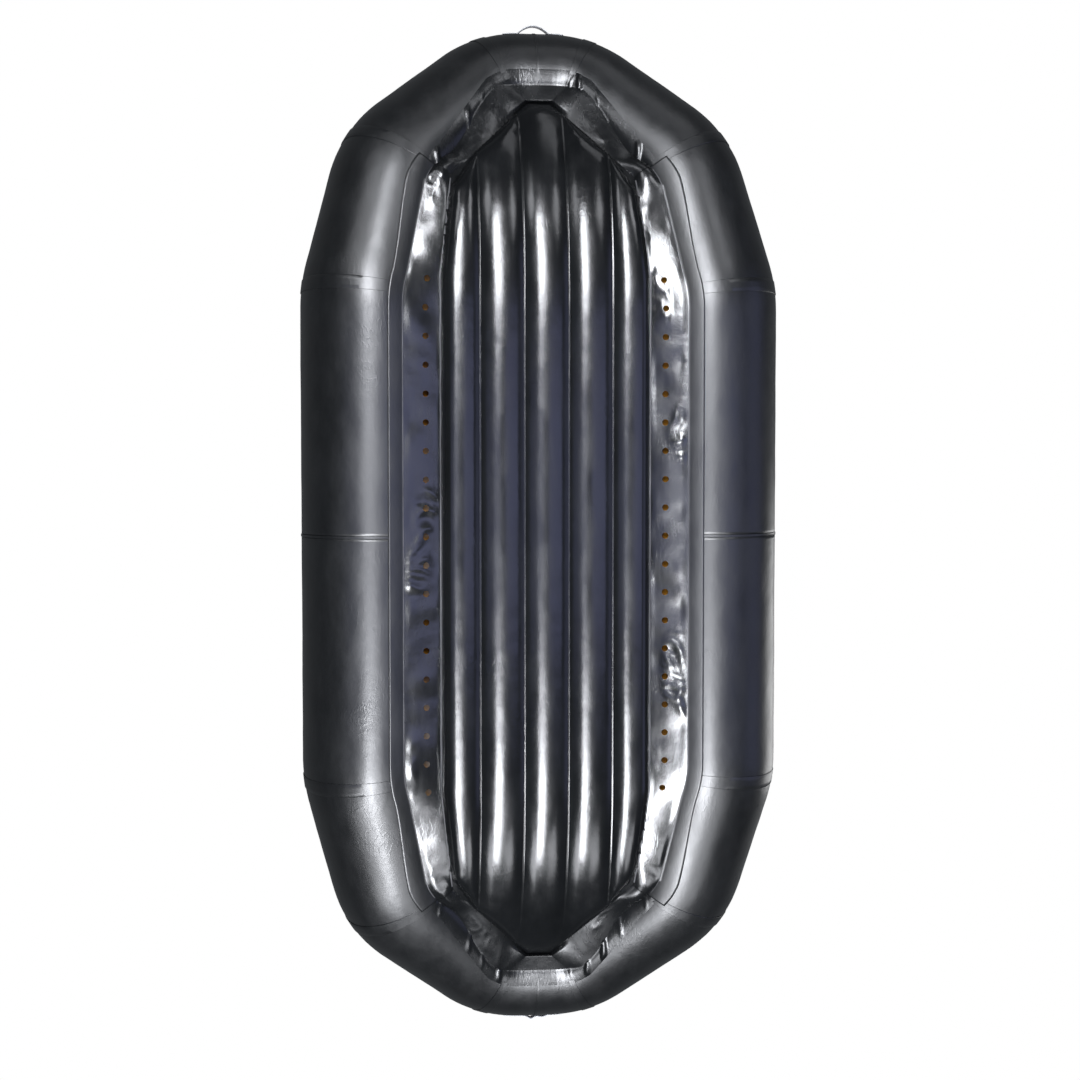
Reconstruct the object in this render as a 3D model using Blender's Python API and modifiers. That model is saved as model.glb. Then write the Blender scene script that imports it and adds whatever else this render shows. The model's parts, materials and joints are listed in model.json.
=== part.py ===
"""A fourteen foot self-bailing river raft, in metres, right side up with its bow along +Y.

A ring of inflatable tubes, cut as fourteen taped sections, carries an inflatable floor of five chambers.
Perforated flaps join the floor to the tubes, and let the water in the raft run out through their holes.
"""

import math
from collections import namedtuple

import bmesh
import bpy
from mathutils import Matrix, Vector

# Fabric, and the clearance between pieces that touch
SKIN = 0.0015
CLEARANCE = 0.0003

# Ring of tubes: its plan, its rise at the ends and its radii
HALF_WIDTH = 0.99
SIDE_RADIUS = 0.28
SIDE_HALF_LENGTH = 0.985
QUARTER_RADIUS = 0.26
QUARTER_END_X = 0.59
QUARTER_END_Y = 1.52
QUARTER_RISE = 0.115
NOSE_RADIUS = 0.215
NOSE_HALF_LENGTH = 0.18
NOSE_Y = 1.90
NOSE_RISE = 0.305
SIDE_BEND = 0.06
QUARTER_BEND = 0.11
NOSE_BEND = 0.12
TUBE_SIDES = 20

# Baffles that part the ring into four air chambers
BAFFLE_RIM = 0.03
BAFFLE_DISH = 0.09

# Floor: five chambers side by side, which curve up with the tubes
GROUND_CLEARANCE = 0.006
FLOOR_THICKNESS = 0.13
FLOOR_TO_SIDE_LINE = 0.285
OUTER_CHAMBER_WIDTH = 0.155
CHAMBER_CROWN = 0.028
FLOOR_TAPER_LENGTH = 0.065
SHOULDER_NARROWING = 0.05
SHOULDER_INSET = 0.055
TIP_HALF_WIDTH = 0.05
TIP_INSET = 0.11
TIP_ABOVE_NOSE = 0.001
ROCKER_START = 0.9
ROCKER_POWER = 2.5

# Flaps between the tubes and the floor
DRAIN_HOLE_RADIUS = 0.013
DRAIN_HOLE_PITCH = 0.1154
DRAIN_HOLES = 19
DRAIN_HOLE_SHARE = 0.6
HOLE_SIDES = 7
BAND_START_ANGLE = 14.0

# Thwarts, across the raft between the side tubes
THWART_RADIUS = 0.17
THWART_Y = 0.50
FOOT_GAP = 0.05
THWART_SIDES = 16

# Air valves: a body glued in the fabric, a sprung poppet that seals it and a cap
VALVE_FLANGE_RADIUS = 0.031
VALVE_FLANGE_THICKNESS = 0.002
VALVE_COLLAR_RADIUS = 0.021
VALVE_COLLAR_HEIGHT = 0.008
VALVE_BARREL_RADIUS = 0.017
VALVE_BARREL_DEPTH = 0.026
VALVE_BORE_RADIUS = 0.013
VALVE_BRIDGE_DEPTH = 0.012
VALVE_BRIDGE_WIDTH = 0.010
VALVE_BRIDGE_THICKNESS = 0.005
POPPET_STEM_RADIUS = 0.0025
POPPET_BUTTON_RADIUS = 0.006
POPPET_BUTTON_THICKNESS = 0.003
POPPET_BUTTON_DROP = 0.002
POPPET_DISC_THICKNESS = 0.003
CAP_WALL = 0.0025
CAP_GRIP_WIDTH = 0.007
CAP_GRIP_HEIGHT = 0.005
FIT_CLEARANCE = 0.0004
VALVE_STEPS = 10
STEM_SIDES = 8
QUARTER_VALVE_ANGLE = 144.0
THWART_VALVE_ANGLE = 135.0
THWART_VALVE_SHARE = 0.30
FLOOR_VALVE_Y = 0.80
RELIEF_BARREL_RADIUS = 0.015
RELIEF_BARREL_DEPTH = 0.020
RELIEF_DOME_RADIUS = 0.020
RELIEF_DOME_HEIGHT = 0.009

# D-rings beside the top of the side tubes, each in a webbing anchor on a glued patch
D_RING_FROM_SEAM = 0.185
D_RING_HALF_BAR = 0.027
D_RING_LEG = 0.008
D_RING_WIRE_RADIUS = 0.003
D_RING_CORNER = 0.004
D_RING_ARC_STEPS = 7
PATCH_HALF_WIDTH = 0.040
PATCH_HALF_LENGTH = 0.070
PATCH_THICKNESS = 0.002
WEBBING_THICKNESS = 0.0015
WEBBING_HALF_WIDTH = 0.021
WEBBING_TAIL = 0.030
PATCH_SIDES = 12
LOOP_SIDES = 8

# Carry handles of webbing on the outside of both noses
HANDLE_HALF_SPAN = 0.10
HANDLE_REACH = 0.045
HANDLE_FOOT = 0.03
HANDLE_WIDTH = 0.040
HANDLE_THICKNESS = 0.003
HANDLE_STEPS = 6

UP = Vector((0, 0, 1))
Station = namedtuple("Station", "centre radius ahead")
ENDS = {"bow": 1, "stern": -1}
HALVES = {"fore": 1, "aft": -1}
SIDES = {"starboard": 1, "port": -1}


def clear_scene():
    for obj in list(bpy.data.objects):
        bpy.data.objects.remove(obj)
    for collection in list(bpy.data.collections):
        bpy.data.collections.remove(collection)


def make_material(name, colour, roughness, metallic=0.0):
    material = bpy.data.materials.new(name)
    material.use_nodes = True
    shader = material.node_tree.nodes["Principled BSDF"]
    shader.inputs["Base Color"].default_value = (*colour, 1)
    shader.inputs["Roughness"].default_value = roughness
    shader.inputs["Metallic"].default_value = metallic
    return material


clear_scene()
RAFT = bpy.data.collections.new("self_bailing_raft")
CUTTERS = bpy.data.collections.new("cutters")
for group in (RAFT, CUTTERS):
    bpy.context.scene.collection.children.link(group)
ORIGIN = bpy.data.objects.new("raft", None)
RAFT.objects.link(ORIGIN)

BLACK_FABRIC = make_material("black_fabric", (0.012, 0.012, 0.014), 0.28)
TUBE_FABRIC = make_material("tube_fabric", (0.80, 0.42, 0.03), 0.32)
BLACK_PLASTIC = make_material("black_plastic", (0.02, 0.02, 0.02), 0.45)
GREY_WEBBING = make_material("grey_webbing", (0.30, 0.31, 0.32), 0.80)
STEEL = make_material("steel", (0.70, 0.70, 0.72), 0.20, 1.0)


# Objects, sheets, turned shapes and cuts


def add_piece(name, mesh, material, place=None):
    """One named piece of the raft, smooth where it is round."""
    obj = bpy.data.objects.new(name, mesh)
    RAFT.objects.link(obj)
    obj.parent = ORIGIN
    if not mesh.materials:
        mesh.materials.append(material)
    if place is not None:
        obj.matrix_world = place
    return obj


def add_cutter(name, mesh, place=None):
    obj = bpy.data.objects.new(name, mesh)
    CUTTERS.objects.link(obj)
    obj.hide_render = True
    obj.display_type = "WIRE"
    if place is not None:
        obj.matrix_world = place
    return obj


def boolean(obj, other, operation):
    modifier = obj.modifiers.new(f"{operation.lower()} {other.name}", "BOOLEAN")
    modifier.operation = operation
    modifier.object = other


def thicken(obj, thickness, offset):
    """Solidify: an offset of -1 goes in from the sheet, +1 out and 0 both ways."""
    modifier = obj.modifiers.new("fabric", "SOLIDIFY")
    modifier.thickness = thickness
    modifier.offset = offset
    modifier.use_even_offset = True


def settled_mesh(obj):
    """The object's mesh with its modifiers applied, closed and facing out. The object is removed."""
    bpy.context.view_layer.update()
    graph = bpy.context.evaluated_depsgraph_get()
    mesh = bpy.data.meshes.new_from_object(obj.evaluated_get(graph))
    bm = bmesh.new()
    bm.from_mesh(mesh)
    bmesh.ops.remove_doubles(bm, verts=bm.verts, dist=1e-6)
    bmesh.ops.recalc_face_normals(bm, faces=bm.faces)
    bm.to_mesh(mesh)
    bm.free()
    bpy.data.objects.remove(obj)
    mesh.shade_smooth()
    mesh.set_sharp_from_angle(angle=math.radians(35))
    return mesh


def sheet_mesh(rows, closed=False, capped=False):
    """A loft over rows of points: closed joins each row's ends, and capped fills its first and last row.

    Its twisted quads are split alike, so that two sheets over the same stations lie flat on each other.
    """
    count = len(rows[0])
    faces = []
    for row in range(len(rows) - 1):
        for column in range(count if closed else count - 1):
            here, right = row * count + column, row * count + (column + 1) % count
            faces.append((here, right, right + count))
            faces.append((here, right + count, here + count))
    if capped:
        faces.append(tuple(reversed(range(count))))
        faces.append(tuple(range((len(rows) - 1) * count, len(rows) * count)))
    mesh = bpy.data.meshes.new("sheet")
    mesh.from_pydata([point for row in rows for point in row], [], faces)
    bm = bmesh.new()
    bm.from_mesh(mesh)
    bmesh.ops.remove_doubles(bm, verts=bm.verts, dist=1e-6)
    bmesh.ops.dissolve_limit(bm, angle_limit=math.radians(0.05), verts=bm.verts, edges=bm.edges)
    bm.to_mesh(mesh)
    bm.free()
    mesh.shade_smooth()
    mesh.set_sharp_from_angle(angle=math.radians(35))
    return mesh


def reflected(mesh, across, along):
    """The starboard bow quarter's mesh in another quarter of the raft, still facing out."""
    mesh.transform(Matrix.Diagonal((across, along, 1, 1)))
    if across * along < 0:
        mesh.flip_normals()
    return mesh


def mirror(obj, across=False, along=False):
    """The other half of a symmetric piece."""
    modifier = obj.modifiers.new("other half", "MIRROR")
    modifier.use_axis = (across, along, False)
    modifier.merge_threshold = 1e-5


def turned_mesh(profile, steps, closed=False):
    """A profile of (radius, height) points turned about Z."""
    count = len(profile)
    edges = [(i, (i + 1) % count) for i in range(count if closed else count - 1)]
    outline = bpy.data.meshes.new("profile")
    outline.from_pydata([(radius, 0, height) for radius, height in profile], edges, [])
    obj = add_cutter("turned", outline)
    screw = obj.modifiers.new("turn", "SCREW")
    screw.steps = screw.render_steps = steps
    screw.use_merge_vertices = True
    screw.merge_threshold = 1e-5
    return settled_mesh(obj)


def cylinder_mesh(radius, low, high, sides):
    bm = bmesh.new()
    bmesh.ops.create_cone(bm, cap_ends=True, segments=sides, radius1=radius, radius2=radius, depth=high - low)
    bmesh.ops.translate(bm, verts=bm.verts, vec=(0, 0, (low + high) / 2))
    mesh = bpy.data.meshes.new("cylinder")
    bm.to_mesh(mesh)
    bm.free()
    return mesh


def box_mesh(low, high):
    low, high = Vector(low), Vector(high)
    bm = bmesh.new()
    bmesh.ops.create_cube(bm, size=1)
    bmesh.ops.scale(bm, verts=bm.verts, vec=high - low)
    bmesh.ops.translate(bm, verts=bm.verts, vec=(low + high) / 2)
    mesh = bpy.data.meshes.new("box")
    bm.to_mesh(mesh)
    bm.free()
    return mesh


def combined_mesh(base, steps):
    """A mesh joined with, or cut by, others in turn."""
    obj = add_cutter("combined", base)
    helpers = [add_cutter("helper", mesh) for _, mesh in steps]
    for (operation, _), helper in zip(steps, helpers):
        boolean(obj, helper, operation)
    mesh = settled_mesh(obj)
    for helper in helpers:
        bpy.data.objects.remove(helper)
    return mesh


# Ring of tubes


def make_station(centre_and_radius, direction):
    return Station(centre_and_radius.xyz, centre_and_radius.w, direction.xyz.normalized())


def quarter_path():
    """Stations of the tubes' centre line from amidships to the middle of the bow, on the starboard side.

    Each of the three corners is rounded over its bend length, with its seam at the middle of three stations.
    """
    side_x = HALF_WIDTH - SIDE_RADIUS
    nose_z = SIDE_RADIUS + NOSE_RISE
    corners = [
        Vector((side_x, 0, SIDE_RADIUS, SIDE_RADIUS)),
        Vector((side_x, SIDE_HALF_LENGTH, SIDE_RADIUS, SIDE_RADIUS)),
        Vector((QUARTER_END_X, QUARTER_END_Y, SIDE_RADIUS + QUARTER_RISE, QUARTER_RADIUS)),
        Vector((NOSE_HALF_LENGTH, NOSE_Y, nose_z, NOSE_RADIUS)),
        Vector((0, NOSE_Y, nose_z, NOSE_RADIUS)),
    ]
    runs = [(b - a) / (b - a).xyz.length for a, b in zip(corners, corners[1:])]
    path = [make_station(corners[0], runs[0])]
    for corner, bend, back, on in zip(corners[1:4], (SIDE_BEND, QUARTER_BEND, NOSE_BEND), runs, runs[1:]):
        start, end = corner - back * bend, corner + on * bend
        path.append(make_station(start, back))
        path.append(make_station((start + corner * 2 + end) / 4, back + on))
        path.append(make_station(end, on))
    path.append(make_station(corners[4], runs[3]))
    return path


FACET = 360 / TUBE_SIDES
# At a bend the cut ends of two skins lean towards each other
SEAM_GAP = CLEARANCE + 0.4 * SKIN
SIDE_FOLD_ANGLE = 1.5 * FACET
END_FOLD_ANGLE = 0.5 * FACET
PATH = quarter_path()
AMIDSHIPS, SIDE_START, SIDE_SEAM, SIDE_END = PATH[0:4]
QUARTER_START, QUARTER_SEAM, QUARTER_END = PATH[4:7]
NOSE_START, NOSE_SEAM, NOSE_END, BOW_CENTRE = PATH[7:11]


def tube_point(station, angle, standoff=0.0, sides=TUBE_SIDES):
    """A point on the flat-sided tube, at degrees from straight down that count up towards the inside."""
    facet = 360 / sides
    off_centre = angle - round(angle / facet) * facet
    reach = (station.radius + standoff) / math.cos(math.radians(off_centre))
    outboard = station.ahead.cross(UP).normalized()
    up = outboard.cross(station.ahead)
    turn = math.radians(angle)
    return station.centre - (up * math.cos(turn) + outboard * math.sin(turn)) * reach


def tube_ring(station, standoff=0.0, sides=TUBE_SIDES):
    return [tube_point(station, (k + 0.5) * 360 / sides, standoff, sides) for k in range(sides)]


def moved(station, distance):
    """The station shifted along the tube, as where a piece stops short of a seam."""
    return station._replace(centre=station.centre + station.ahead * distance)


def between(first, last, share):
    return Station(
        first.centre.lerp(last.centre, share),
        first.radius + (last.radius - first.radius) * share,
        first.ahead.lerp(last.ahead, share).normalized(),
    )


def section_stations(stations):
    """The stations of one fabric section, a hair short of its seams."""
    return [moved(stations[0], SEAM_GAP / 2), *stations[1:-1], moved(stations[-1], -SEAM_GAP / 2)]


def facet_frame(first, last, share, angle, across=1, along=1, sides=TUBE_SIDES):
    """A frame on a tube's outside, with Z out of it and X along it."""
    start, end = tube_point(first, angle, 0, sides), tube_point(last, angle, 0, sides)
    middle = between(first, last, share)
    width = tube_point(middle, angle + 5, 0, sides) - tube_point(middle, angle - 5, 0, sides)
    signs = Vector((across, along, 1))
    x_axis = ((end - start) * signs).normalized()
    z_axis = x_axis.cross(width * signs).normalized()
    point = start.lerp(end, share) * signs
    if z_axis.dot(point - middle.centre * signs) < 0:
        z_axis = -z_axis
    return framed(point, x_axis, z_axis)


def framed(point, x_axis, z_axis):
    y_axis = z_axis.cross(x_axis).normalized()
    frame = Matrix((x_axis, y_axis, z_axis)).transposed().to_4x4()
    frame.translation = point
    return frame


def build_tube_section(name, stations, across, along):
    """Black from the outboard side down to the flap, and coloured over the rest."""
    rows = [tube_ring(station) for station in stations]
    mesh = sheet_mesh(rows, closed=True)
    mesh.materials.append(TUBE_FABRIC)
    mesh.materials.append(BLACK_FABRIC)
    for face in mesh.polygons:
        station = min(stations, key=lambda near: (near.centre - face.center).length)
        outboard = station.ahead.cross(UP).normalized()
        up = outboard.cross(station.ahead)
        offset = face.center - station.centre
        angle = math.degrees(math.atan2(-offset.dot(outboard), -offset.dot(up)))
        face.material_index = int(-90 - FACET / 2 < angle < SIDE_FOLD_ANGLE)
    return add_piece(name, reflected(mesh, across, along), TUBE_FABRIC)


def build_tubes():
    """The fourteen sections, and the quarter sections by side and end for the valves."""
    quarters = {}
    for end, along in ENDS.items():
        half_nose = [moved(NOSE_SEAM, SEAM_GAP / 2), NOSE_END, BOW_CENTRE]
        nose = build_tube_section(f"{end}_nose", half_nose, 1, along)
        mirror(nose, across=True)
        thicken(nose, SKIN, -1)
        half = "fore" if along > 0 else "aft"
        for side, across in SIDES.items():
            pieces = {
                f"{side}_{half}_side": PATH[0:3],
                f"{side}_{end}_quarter": PATH[2:6],
                f"{side}_{end}_angle": PATH[5:9],
            }
            for name, stations in pieces.items():
                section = build_tube_section(name, section_stations(stations), across, along)
                thicken(section, SKIN, -1)
            quarters[side, end] = bpy.data.objects[f"{side}_{end}_quarter"]
    return quarters


def build_baffle(name, station, across, along):
    """A dished diaphragm with a rim glued to the inside of the tube."""
    inner = station._replace(radius=station.radius - SKIN - CLEARANCE)
    dish = ((0, 1), (BAFFLE_RIM, 1), (BAFFLE_RIM + BAFFLE_DISH, 0.4))
    rows = [tube_ring(moved(inner._replace(radius=inner.radius * share), depth)) for depth, share in dish]
    mesh = sheet_mesh(rows, closed=True)
    bm = bmesh.new()
    bm.from_mesh(mesh)
    bottom = [v for v in bm.verts if min((v.co - point).length for point in rows[-1]) < 1e-6]
    bmesh.ops.contextual_create(bm, geom=bottom)
    bm.to_mesh(mesh)
    bm.free()
    thicken(add_piece(name, reflected(mesh, across, along), BLACK_FABRIC), SKIN, -1)


def build_baffles():
    in_side, in_nose = moved(AMIDSHIPS, BAFFLE_RIM / 2), moved(BOW_CENTRE, -BAFFLE_RIM / 2)
    build_baffle("starboard_baffle", in_side, 1, 1)
    build_baffle("port_baffle", in_side, -1, 1)
    build_baffle("bow_baffle", in_nose, 1, 1)
    build_baffle("stern_baffle", in_nose, 1, -1)


# Floor

FLOOR_HALF_WIDTH = HALF_WIDTH - SIDE_RADIUS - FLOOR_TO_SIDE_LINE
CHAMBER_PITCH = 2 * (FLOOR_HALF_WIDTH - OUTER_CHAMBER_WIDTH) / 3
SHOULDER_HALF_WIDTH = FLOOR_HALF_WIDTH - SHOULDER_NARROWING
SHOULDER_Y = QUARTER_END_Y - SHOULDER_INSET
TIP_Y = NOSE_Y - TIP_INSET
TAPER_START = SIDE_HALF_LENGTH + FLOOR_TAPER_LENGTH
DIAGONAL = Vector((TIP_HALF_WIDTH - SHOULDER_HALF_WIDTH, TIP_Y - SHOULDER_Y))
DIAGONAL_OUT = Vector((DIAGONAL.y, -DIAGONAL.x)).normalized()
ROUND_EDGE = FLOOR_THICKNESS / 2
FLAT_MIDDLE = GROUND_CLEARANCE + FLOOR_THICKNESS / 2
OUTER_VALLEY = 1.5 * CHAMBER_PITCH
OUTER_CREST = (OUTER_VALLEY + FLOOR_HALF_WIDTH) / 2
VALLEY_HALF_THICKNESS = FLOOR_THICKNESS / 2 - CHAMBER_CROWN
SIDE_ROWS = [ROCKER_START, TAPER_START, (TAPER_START + SHOULDER_Y) / 2, SHOULDER_Y]
FLAT_CREST = 1 / 3
ROUND_STEPS = (50, 90)


def rocker(y):
    """How far the floor has risen at this distance from amidships."""
    share = max(0.0, abs(y) - ROCKER_START) / (TIP_Y - ROCKER_START)
    nose_underside = SIDE_RADIUS + NOSE_RISE - NOSE_RADIUS
    return (nose_underside + TIP_ABOVE_NOSE - FLAT_MIDDLE) * share**ROCKER_POWER


def floor_middle(y):
    return FLAT_MIDDLE + rocker(y)


def floor_half_width(y):
    share = (abs(y) - TAPER_START) / (SHOULDER_Y - TAPER_START)
    return FLOOR_HALF_WIDTH + (SHOULDER_HALF_WIDTH - FLOOR_HALF_WIDTH) * min(1.0, max(0.0, share))


def outer_chamber_squeeze(y):
    """How much narrower the outer chambers are here than amidships."""
    return (floor_half_width(y) - OUTER_VALLEY) / (FLOOR_HALF_WIDTH - OUTER_VALLEY)


def diagonal_depth(x, y):
    """Distance inside the nearest diagonal edge of the floor's end."""
    return (Vector((SHOULDER_HALF_WIDTH, SHOULDER_Y)) - Vector((abs(x), abs(y)))).dot(DIAGONAL_OUT)


def crown(offset):
    """Share of a chamber's crown at an offset from its middle, as a share of its half width."""
    return min(1.0, (1 - offset**2) / (1 - FLAT_CREST**2))


def half_thickness(x, y):
    """Half of the floor's thickness: crowned chambers between valleys, with a round edge all about."""
    x, y = abs(x), abs(y)
    if x > OUTER_VALLEY:
        x = OUTER_VALLEY + (x - OUTER_VALLEY) / outer_chamber_squeeze(y)
    if x <= OUTER_VALLEY:
        offset = ((x + CHAMBER_PITCH / 2) % CHAMBER_PITCH - CHAMBER_PITCH / 2) / (CHAMBER_PITCH / 2)
    else:
        offset = min(0.0, (x - OUTER_CREST) / (OUTER_CREST - OUTER_VALLEY))
    chamber = VALLEY_HALF_THICKNESS + CHAMBER_CROWN * crown(offset)
    inside = min(FLOOR_HALF_WIDTH - x, diagonal_depth(x, y), TIP_Y - y)
    share = min(1.0, max(0.0, inside / ROUND_EDGE))
    edge = ROUND_EDGE * math.sqrt(1 - (1 - share) ** 2)
    return max(min(chamber, edge), SKIN + CLEARANCE)


def round_depths():
    """Depths inside an edge at which its quarter circle is cut into flats."""
    return [ROUND_EDGE * (1 - math.cos(math.radians(step))) for step in ROUND_STEPS]


def floor_columns():
    """Where the floor's sheet is cut lengthways, on one side of its middle."""
    half = CHAMBER_PITCH / 2
    columns = [FLAT_CREST * half, half]
    columns += [CHAMBER_PITCH + share * half for share in (-FLAT_CREST, FLAT_CREST, 1)]
    columns.append(OUTER_CREST - FLAT_CREST * (OUTER_CREST - OUTER_VALLEY))
    return columns + [FLOOR_HALF_WIDTH - depth for depth in round_depths()]


def floor_rows():
    """Where the floor's sheet is cut crossways, forward of amidships."""
    return SIDE_ROWS + [(SHOULDER_Y + TIP_Y) / 2] + [TIP_Y - depth for depth in round_depths()]


def cut_sheet(bm, point, normal, clear=False):
    geometry = bm.verts[:] + bm.edges[:] + bm.faces[:]
    bmesh.ops.bisect_plane(
        bm, geom=geometry, dist=1e-6, plane_co=(*point, 0), plane_no=(*normal, 0), clear_outer=clear
    )


def floor_plan():
    """A quarter of the floor as a flat sheet, cut along every line where its surface turns."""
    bm = bmesh.new()
    bmesh.ops.create_grid(bm, x_segments=1, y_segments=1, size=0.5)
    bmesh.ops.translate(bm, verts=bm.verts, vec=(0.5, 0.5, 0))
    bmesh.ops.scale(bm, verts=bm.verts, vec=(FLOOR_HALF_WIDTH, TIP_Y, 1))
    for column in floor_columns():
        cut_sheet(bm, (column, 0), (1, 0))
    for row in floor_rows():
        cut_sheet(bm, (0, row), (0, 1))
    for vert in bm.verts:
        beyond = max(0.0, vert.co.x - OUTER_VALLEY)
        vert.co.x += beyond * (outer_chamber_squeeze(vert.co.y) - 1)
    for depth in [0.0, *round_depths()]:
        corner = Vector((SHOULDER_HALF_WIDTH, SHOULDER_Y)) - DIAGONAL_OUT * depth
        cut_sheet(bm, corner, DIAGONAL_OUT, clear=depth == 0)
    return bm


def build_floor_skin(name, direction):
    """The bottom skin with direction -1, or the top one with 1."""
    bm = floor_plan()
    for vert in bm.verts:
        x, y, _ = vert.co
        vert.co.z = floor_middle(y) + direction * half_thickness(x, y)
    for face in bm.faces:
        face.normal_update()
        if face.normal.z * direction < 0:
            face.normal_flip()
    bmesh.ops.triangulate(bm, faces=bm.faces)
    mesh = bpy.data.meshes.new(name)
    bm.to_mesh(mesh)
    bm.free()
    mesh.shade_smooth()
    mesh.set_sharp_from_angle(angle=math.radians(50))
    skin = add_piece(name, mesh, BLACK_FABRIC)
    mirror(skin, across=True, along=True)
    thicken(skin, SKIN, -1)
    return skin


def web_end(x):
    """How far forward a web at this distance from the middle reaches: to where the end starts to round off."""
    reach = ROUND_EDGE - diagonal_depth(x, 0)
    return min(-reach / DIAGONAL_OUT.y, TIP_Y - ROUND_EDGE)


def build_floor_web(name, x):
    """A strip of fabric that ties the skins together along a valley."""
    flank = (1 - FLAT_CREST) * CHAMBER_PITCH / 2
    skin_at_valley = SKIN / math.cos(math.atan2(CHAMBER_CROWN, flank))
    end = web_end(abs(x))
    half = VALLEY_HALF_THICKNESS - skin_at_valley - 2 * CLEARANCE
    rows = []
    for y in [0.0] + [row for row in sorted(floor_rows()) if row < end] + [end]:
        rows.append([Vector((x, y, floor_middle(y) + sign * half)) for sign in (-1, 1)])
    web = add_piece(name, sheet_mesh(rows), BLACK_FABRIC)
    mirror(web, along=True)
    thicken(web, SKIN, 0)


def build_floor():
    build_floor_skin("floor_bottom_skin", -1)
    top = build_floor_skin("floor_top_skin", 1)
    for name, lines in {"inner": 0.5, "outer": 1.5}.items():
        for side, across in SIDES.items():
            build_floor_web(f"{side}_{name}_floor_web", across * lines * CHAMBER_PITCH)
    return top


# Flaps


def floor_side_point(y):
    """The floor's edge beside the drain flap."""
    return Vector((floor_half_width(y) + CLEARANCE, y, floor_middle(y)))


def floor_end_point(share):
    """The floor's edge from its shoulder, at 0, to its tip's corner, at 1, and to the middle line, at 2."""
    corner = Vector((SHOULDER_HALF_WIDTH, SHOULDER_Y)) + DIAGONAL * min(share, 1.0)
    corner.x -= TIP_HALF_WIDTH * max(0.0, share - 1)
    point = corner + (DIAGONAL_OUT if share < 1 else Vector((0, 1))) * CLEARANCE
    return Vector((*point, floor_middle(corner.y)))


def refined(stations, steps):
    """More stations between each two, so that a long strip can bend."""
    finer = []
    for first, last, count in zip(stations, stations[1:], steps):
        finer += [between(first, last, k / count) for k in range(count)]
    return finer + [stations[-1]]


def distances(stations):
    """How far along the tubes each station is from the first."""
    steps = [(b.centre - a.centre).length for a, b in zip(stations, stations[1:])]
    return [sum(steps[:k]) for k in range(len(stations))]


def blend(first, last, share):
    return first + (last - first) * min(1.0, max(0.0, share))


def drain_flap_rows():
    """The starboard drain flap's forward half: on the tube, where it leaves the tube, and the floor's edge.

    On the side tube its band stops short of the ground, and on the quarter it reaches the tube's lowest facet.
    """
    stations = [*PATH[0:5], moved(QUARTER_SEAM, -CLEARANCE / 2)]
    stations = refined(stations, (1, 1, 1, 2, 1))
    rocker_start, taper_start, taper_middle, shoulder = [floor_side_point(y) for y in SIDE_ROWS]
    edge = [floor_side_point(0), rocker_start, rocker_start.lerp(taper_start, 0.5), taper_start, taper_middle]
    edge += [taper_middle.lerp(shoulder, 0.6), shoulder - Vector((0, CLEARANCE, 0))]
    rows = []
    for station, floor_point in zip(stations, edge):
        share = (station.centre.y - SIDE_END.centre.y) / (QUARTER_START.centre.y - SIDE_END.centre.y)
        start_angle = blend(BAND_START_ANGLE, END_FOLD_ANGLE, share)
        angles = (start_angle, SIDE_FOLD_ANGLE)
        rows.append([tube_point(station, angle, CLEARANCE) for angle in angles] + [floor_point])
    return rows


def end_flap_rows():
    """The bow flap's starboard half, from the quarter's seam to the middle line."""
    stations = [moved(QUARTER_SEAM, CLEARANCE / 2), *PATH[6:11]]
    stations = refined(stations, (1, 3, 1, 1, 1))
    reach = distances(stations)
    straight_end, seam, middle = reach[-4], reach[-3], reach[-1]
    rows = []
    for station, along in zip(stations, reach):
        share = (along - reach[1]) / (straight_end - reach[1])
        fold_angle = blend(SIDE_FOLD_ANGLE, END_FOLD_ANGLE, share)
        edge_share = min(1.0, along / seam) + max(0.0, (along - seam) / (middle - seam))
        edge_share = max(edge_share, 2 * CLEARANCE / DIAGONAL.length)
        angles = (-END_FOLD_ANGLE, END_FOLD_ANGLE, fold_angle)
        points = [tube_point(station, angle, CLEARANCE) for angle in angles]
        rows.append(points + [floor_end_point(edge_share)])
    return rows


def drain_hole_cutters(rows, across):
    """Upright cylinders along the flap, a share of the way from the tube to the floor."""
    half_run = DRAIN_HOLE_PITCH * (DRAIN_HOLES - 1) / 2
    bm = bmesh.new()
    for k in range(DRAIN_HOLES):
        y = k * DRAIN_HOLE_PITCH - half_run
        for first, last in zip(rows, rows[1:]):
            if first[1].y <= abs(y) <= last[1].y:
                share = (abs(y) - first[1].y) / (last[1].y - first[1].y)
                leave, edge = first[1].lerp(last[1], share), first[2].lerp(last[2], share)
                centre = leave.lerp(edge, DRAIN_HOLE_SHARE)
                place = Matrix.Translation((across * centre.x, y, centre.z))
                bmesh.ops.create_cone(
                    bm, cap_ends=True, segments=HOLE_SIDES, matrix=place, depth=2 * FLOOR_THICKNESS,
                    radius1=DRAIN_HOLE_RADIUS, radius2=DRAIN_HOLE_RADIUS,
                )
    mesh = bpy.data.meshes.new("drain_holes")
    bm.to_mesh(mesh)
    bm.free()
    return mesh


def build_flaps():
    rows = drain_flap_rows()
    for side, across in SIDES.items():
        flap = add_piece(f"{side}_drain_flap", reflected(sheet_mesh(rows), across, 1), BLACK_FABRIC)
        mirror(flap, along=True)
        thicken(flap, SKIN, 1)
        holes = add_cutter(f"{side}_drain_holes", drain_hole_cutters(rows, across))
        boolean(flap, holes, "DIFFERENCE")
    for end, along in ENDS.items():
        flap = add_piece(f"{end}_flap", reflected(sheet_mesh(end_flap_rows()), 1, along), BLACK_FABRIC)
        mirror(flap, across=True)
        thicken(flap, SKIN, 1)


# Thwarts


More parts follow.
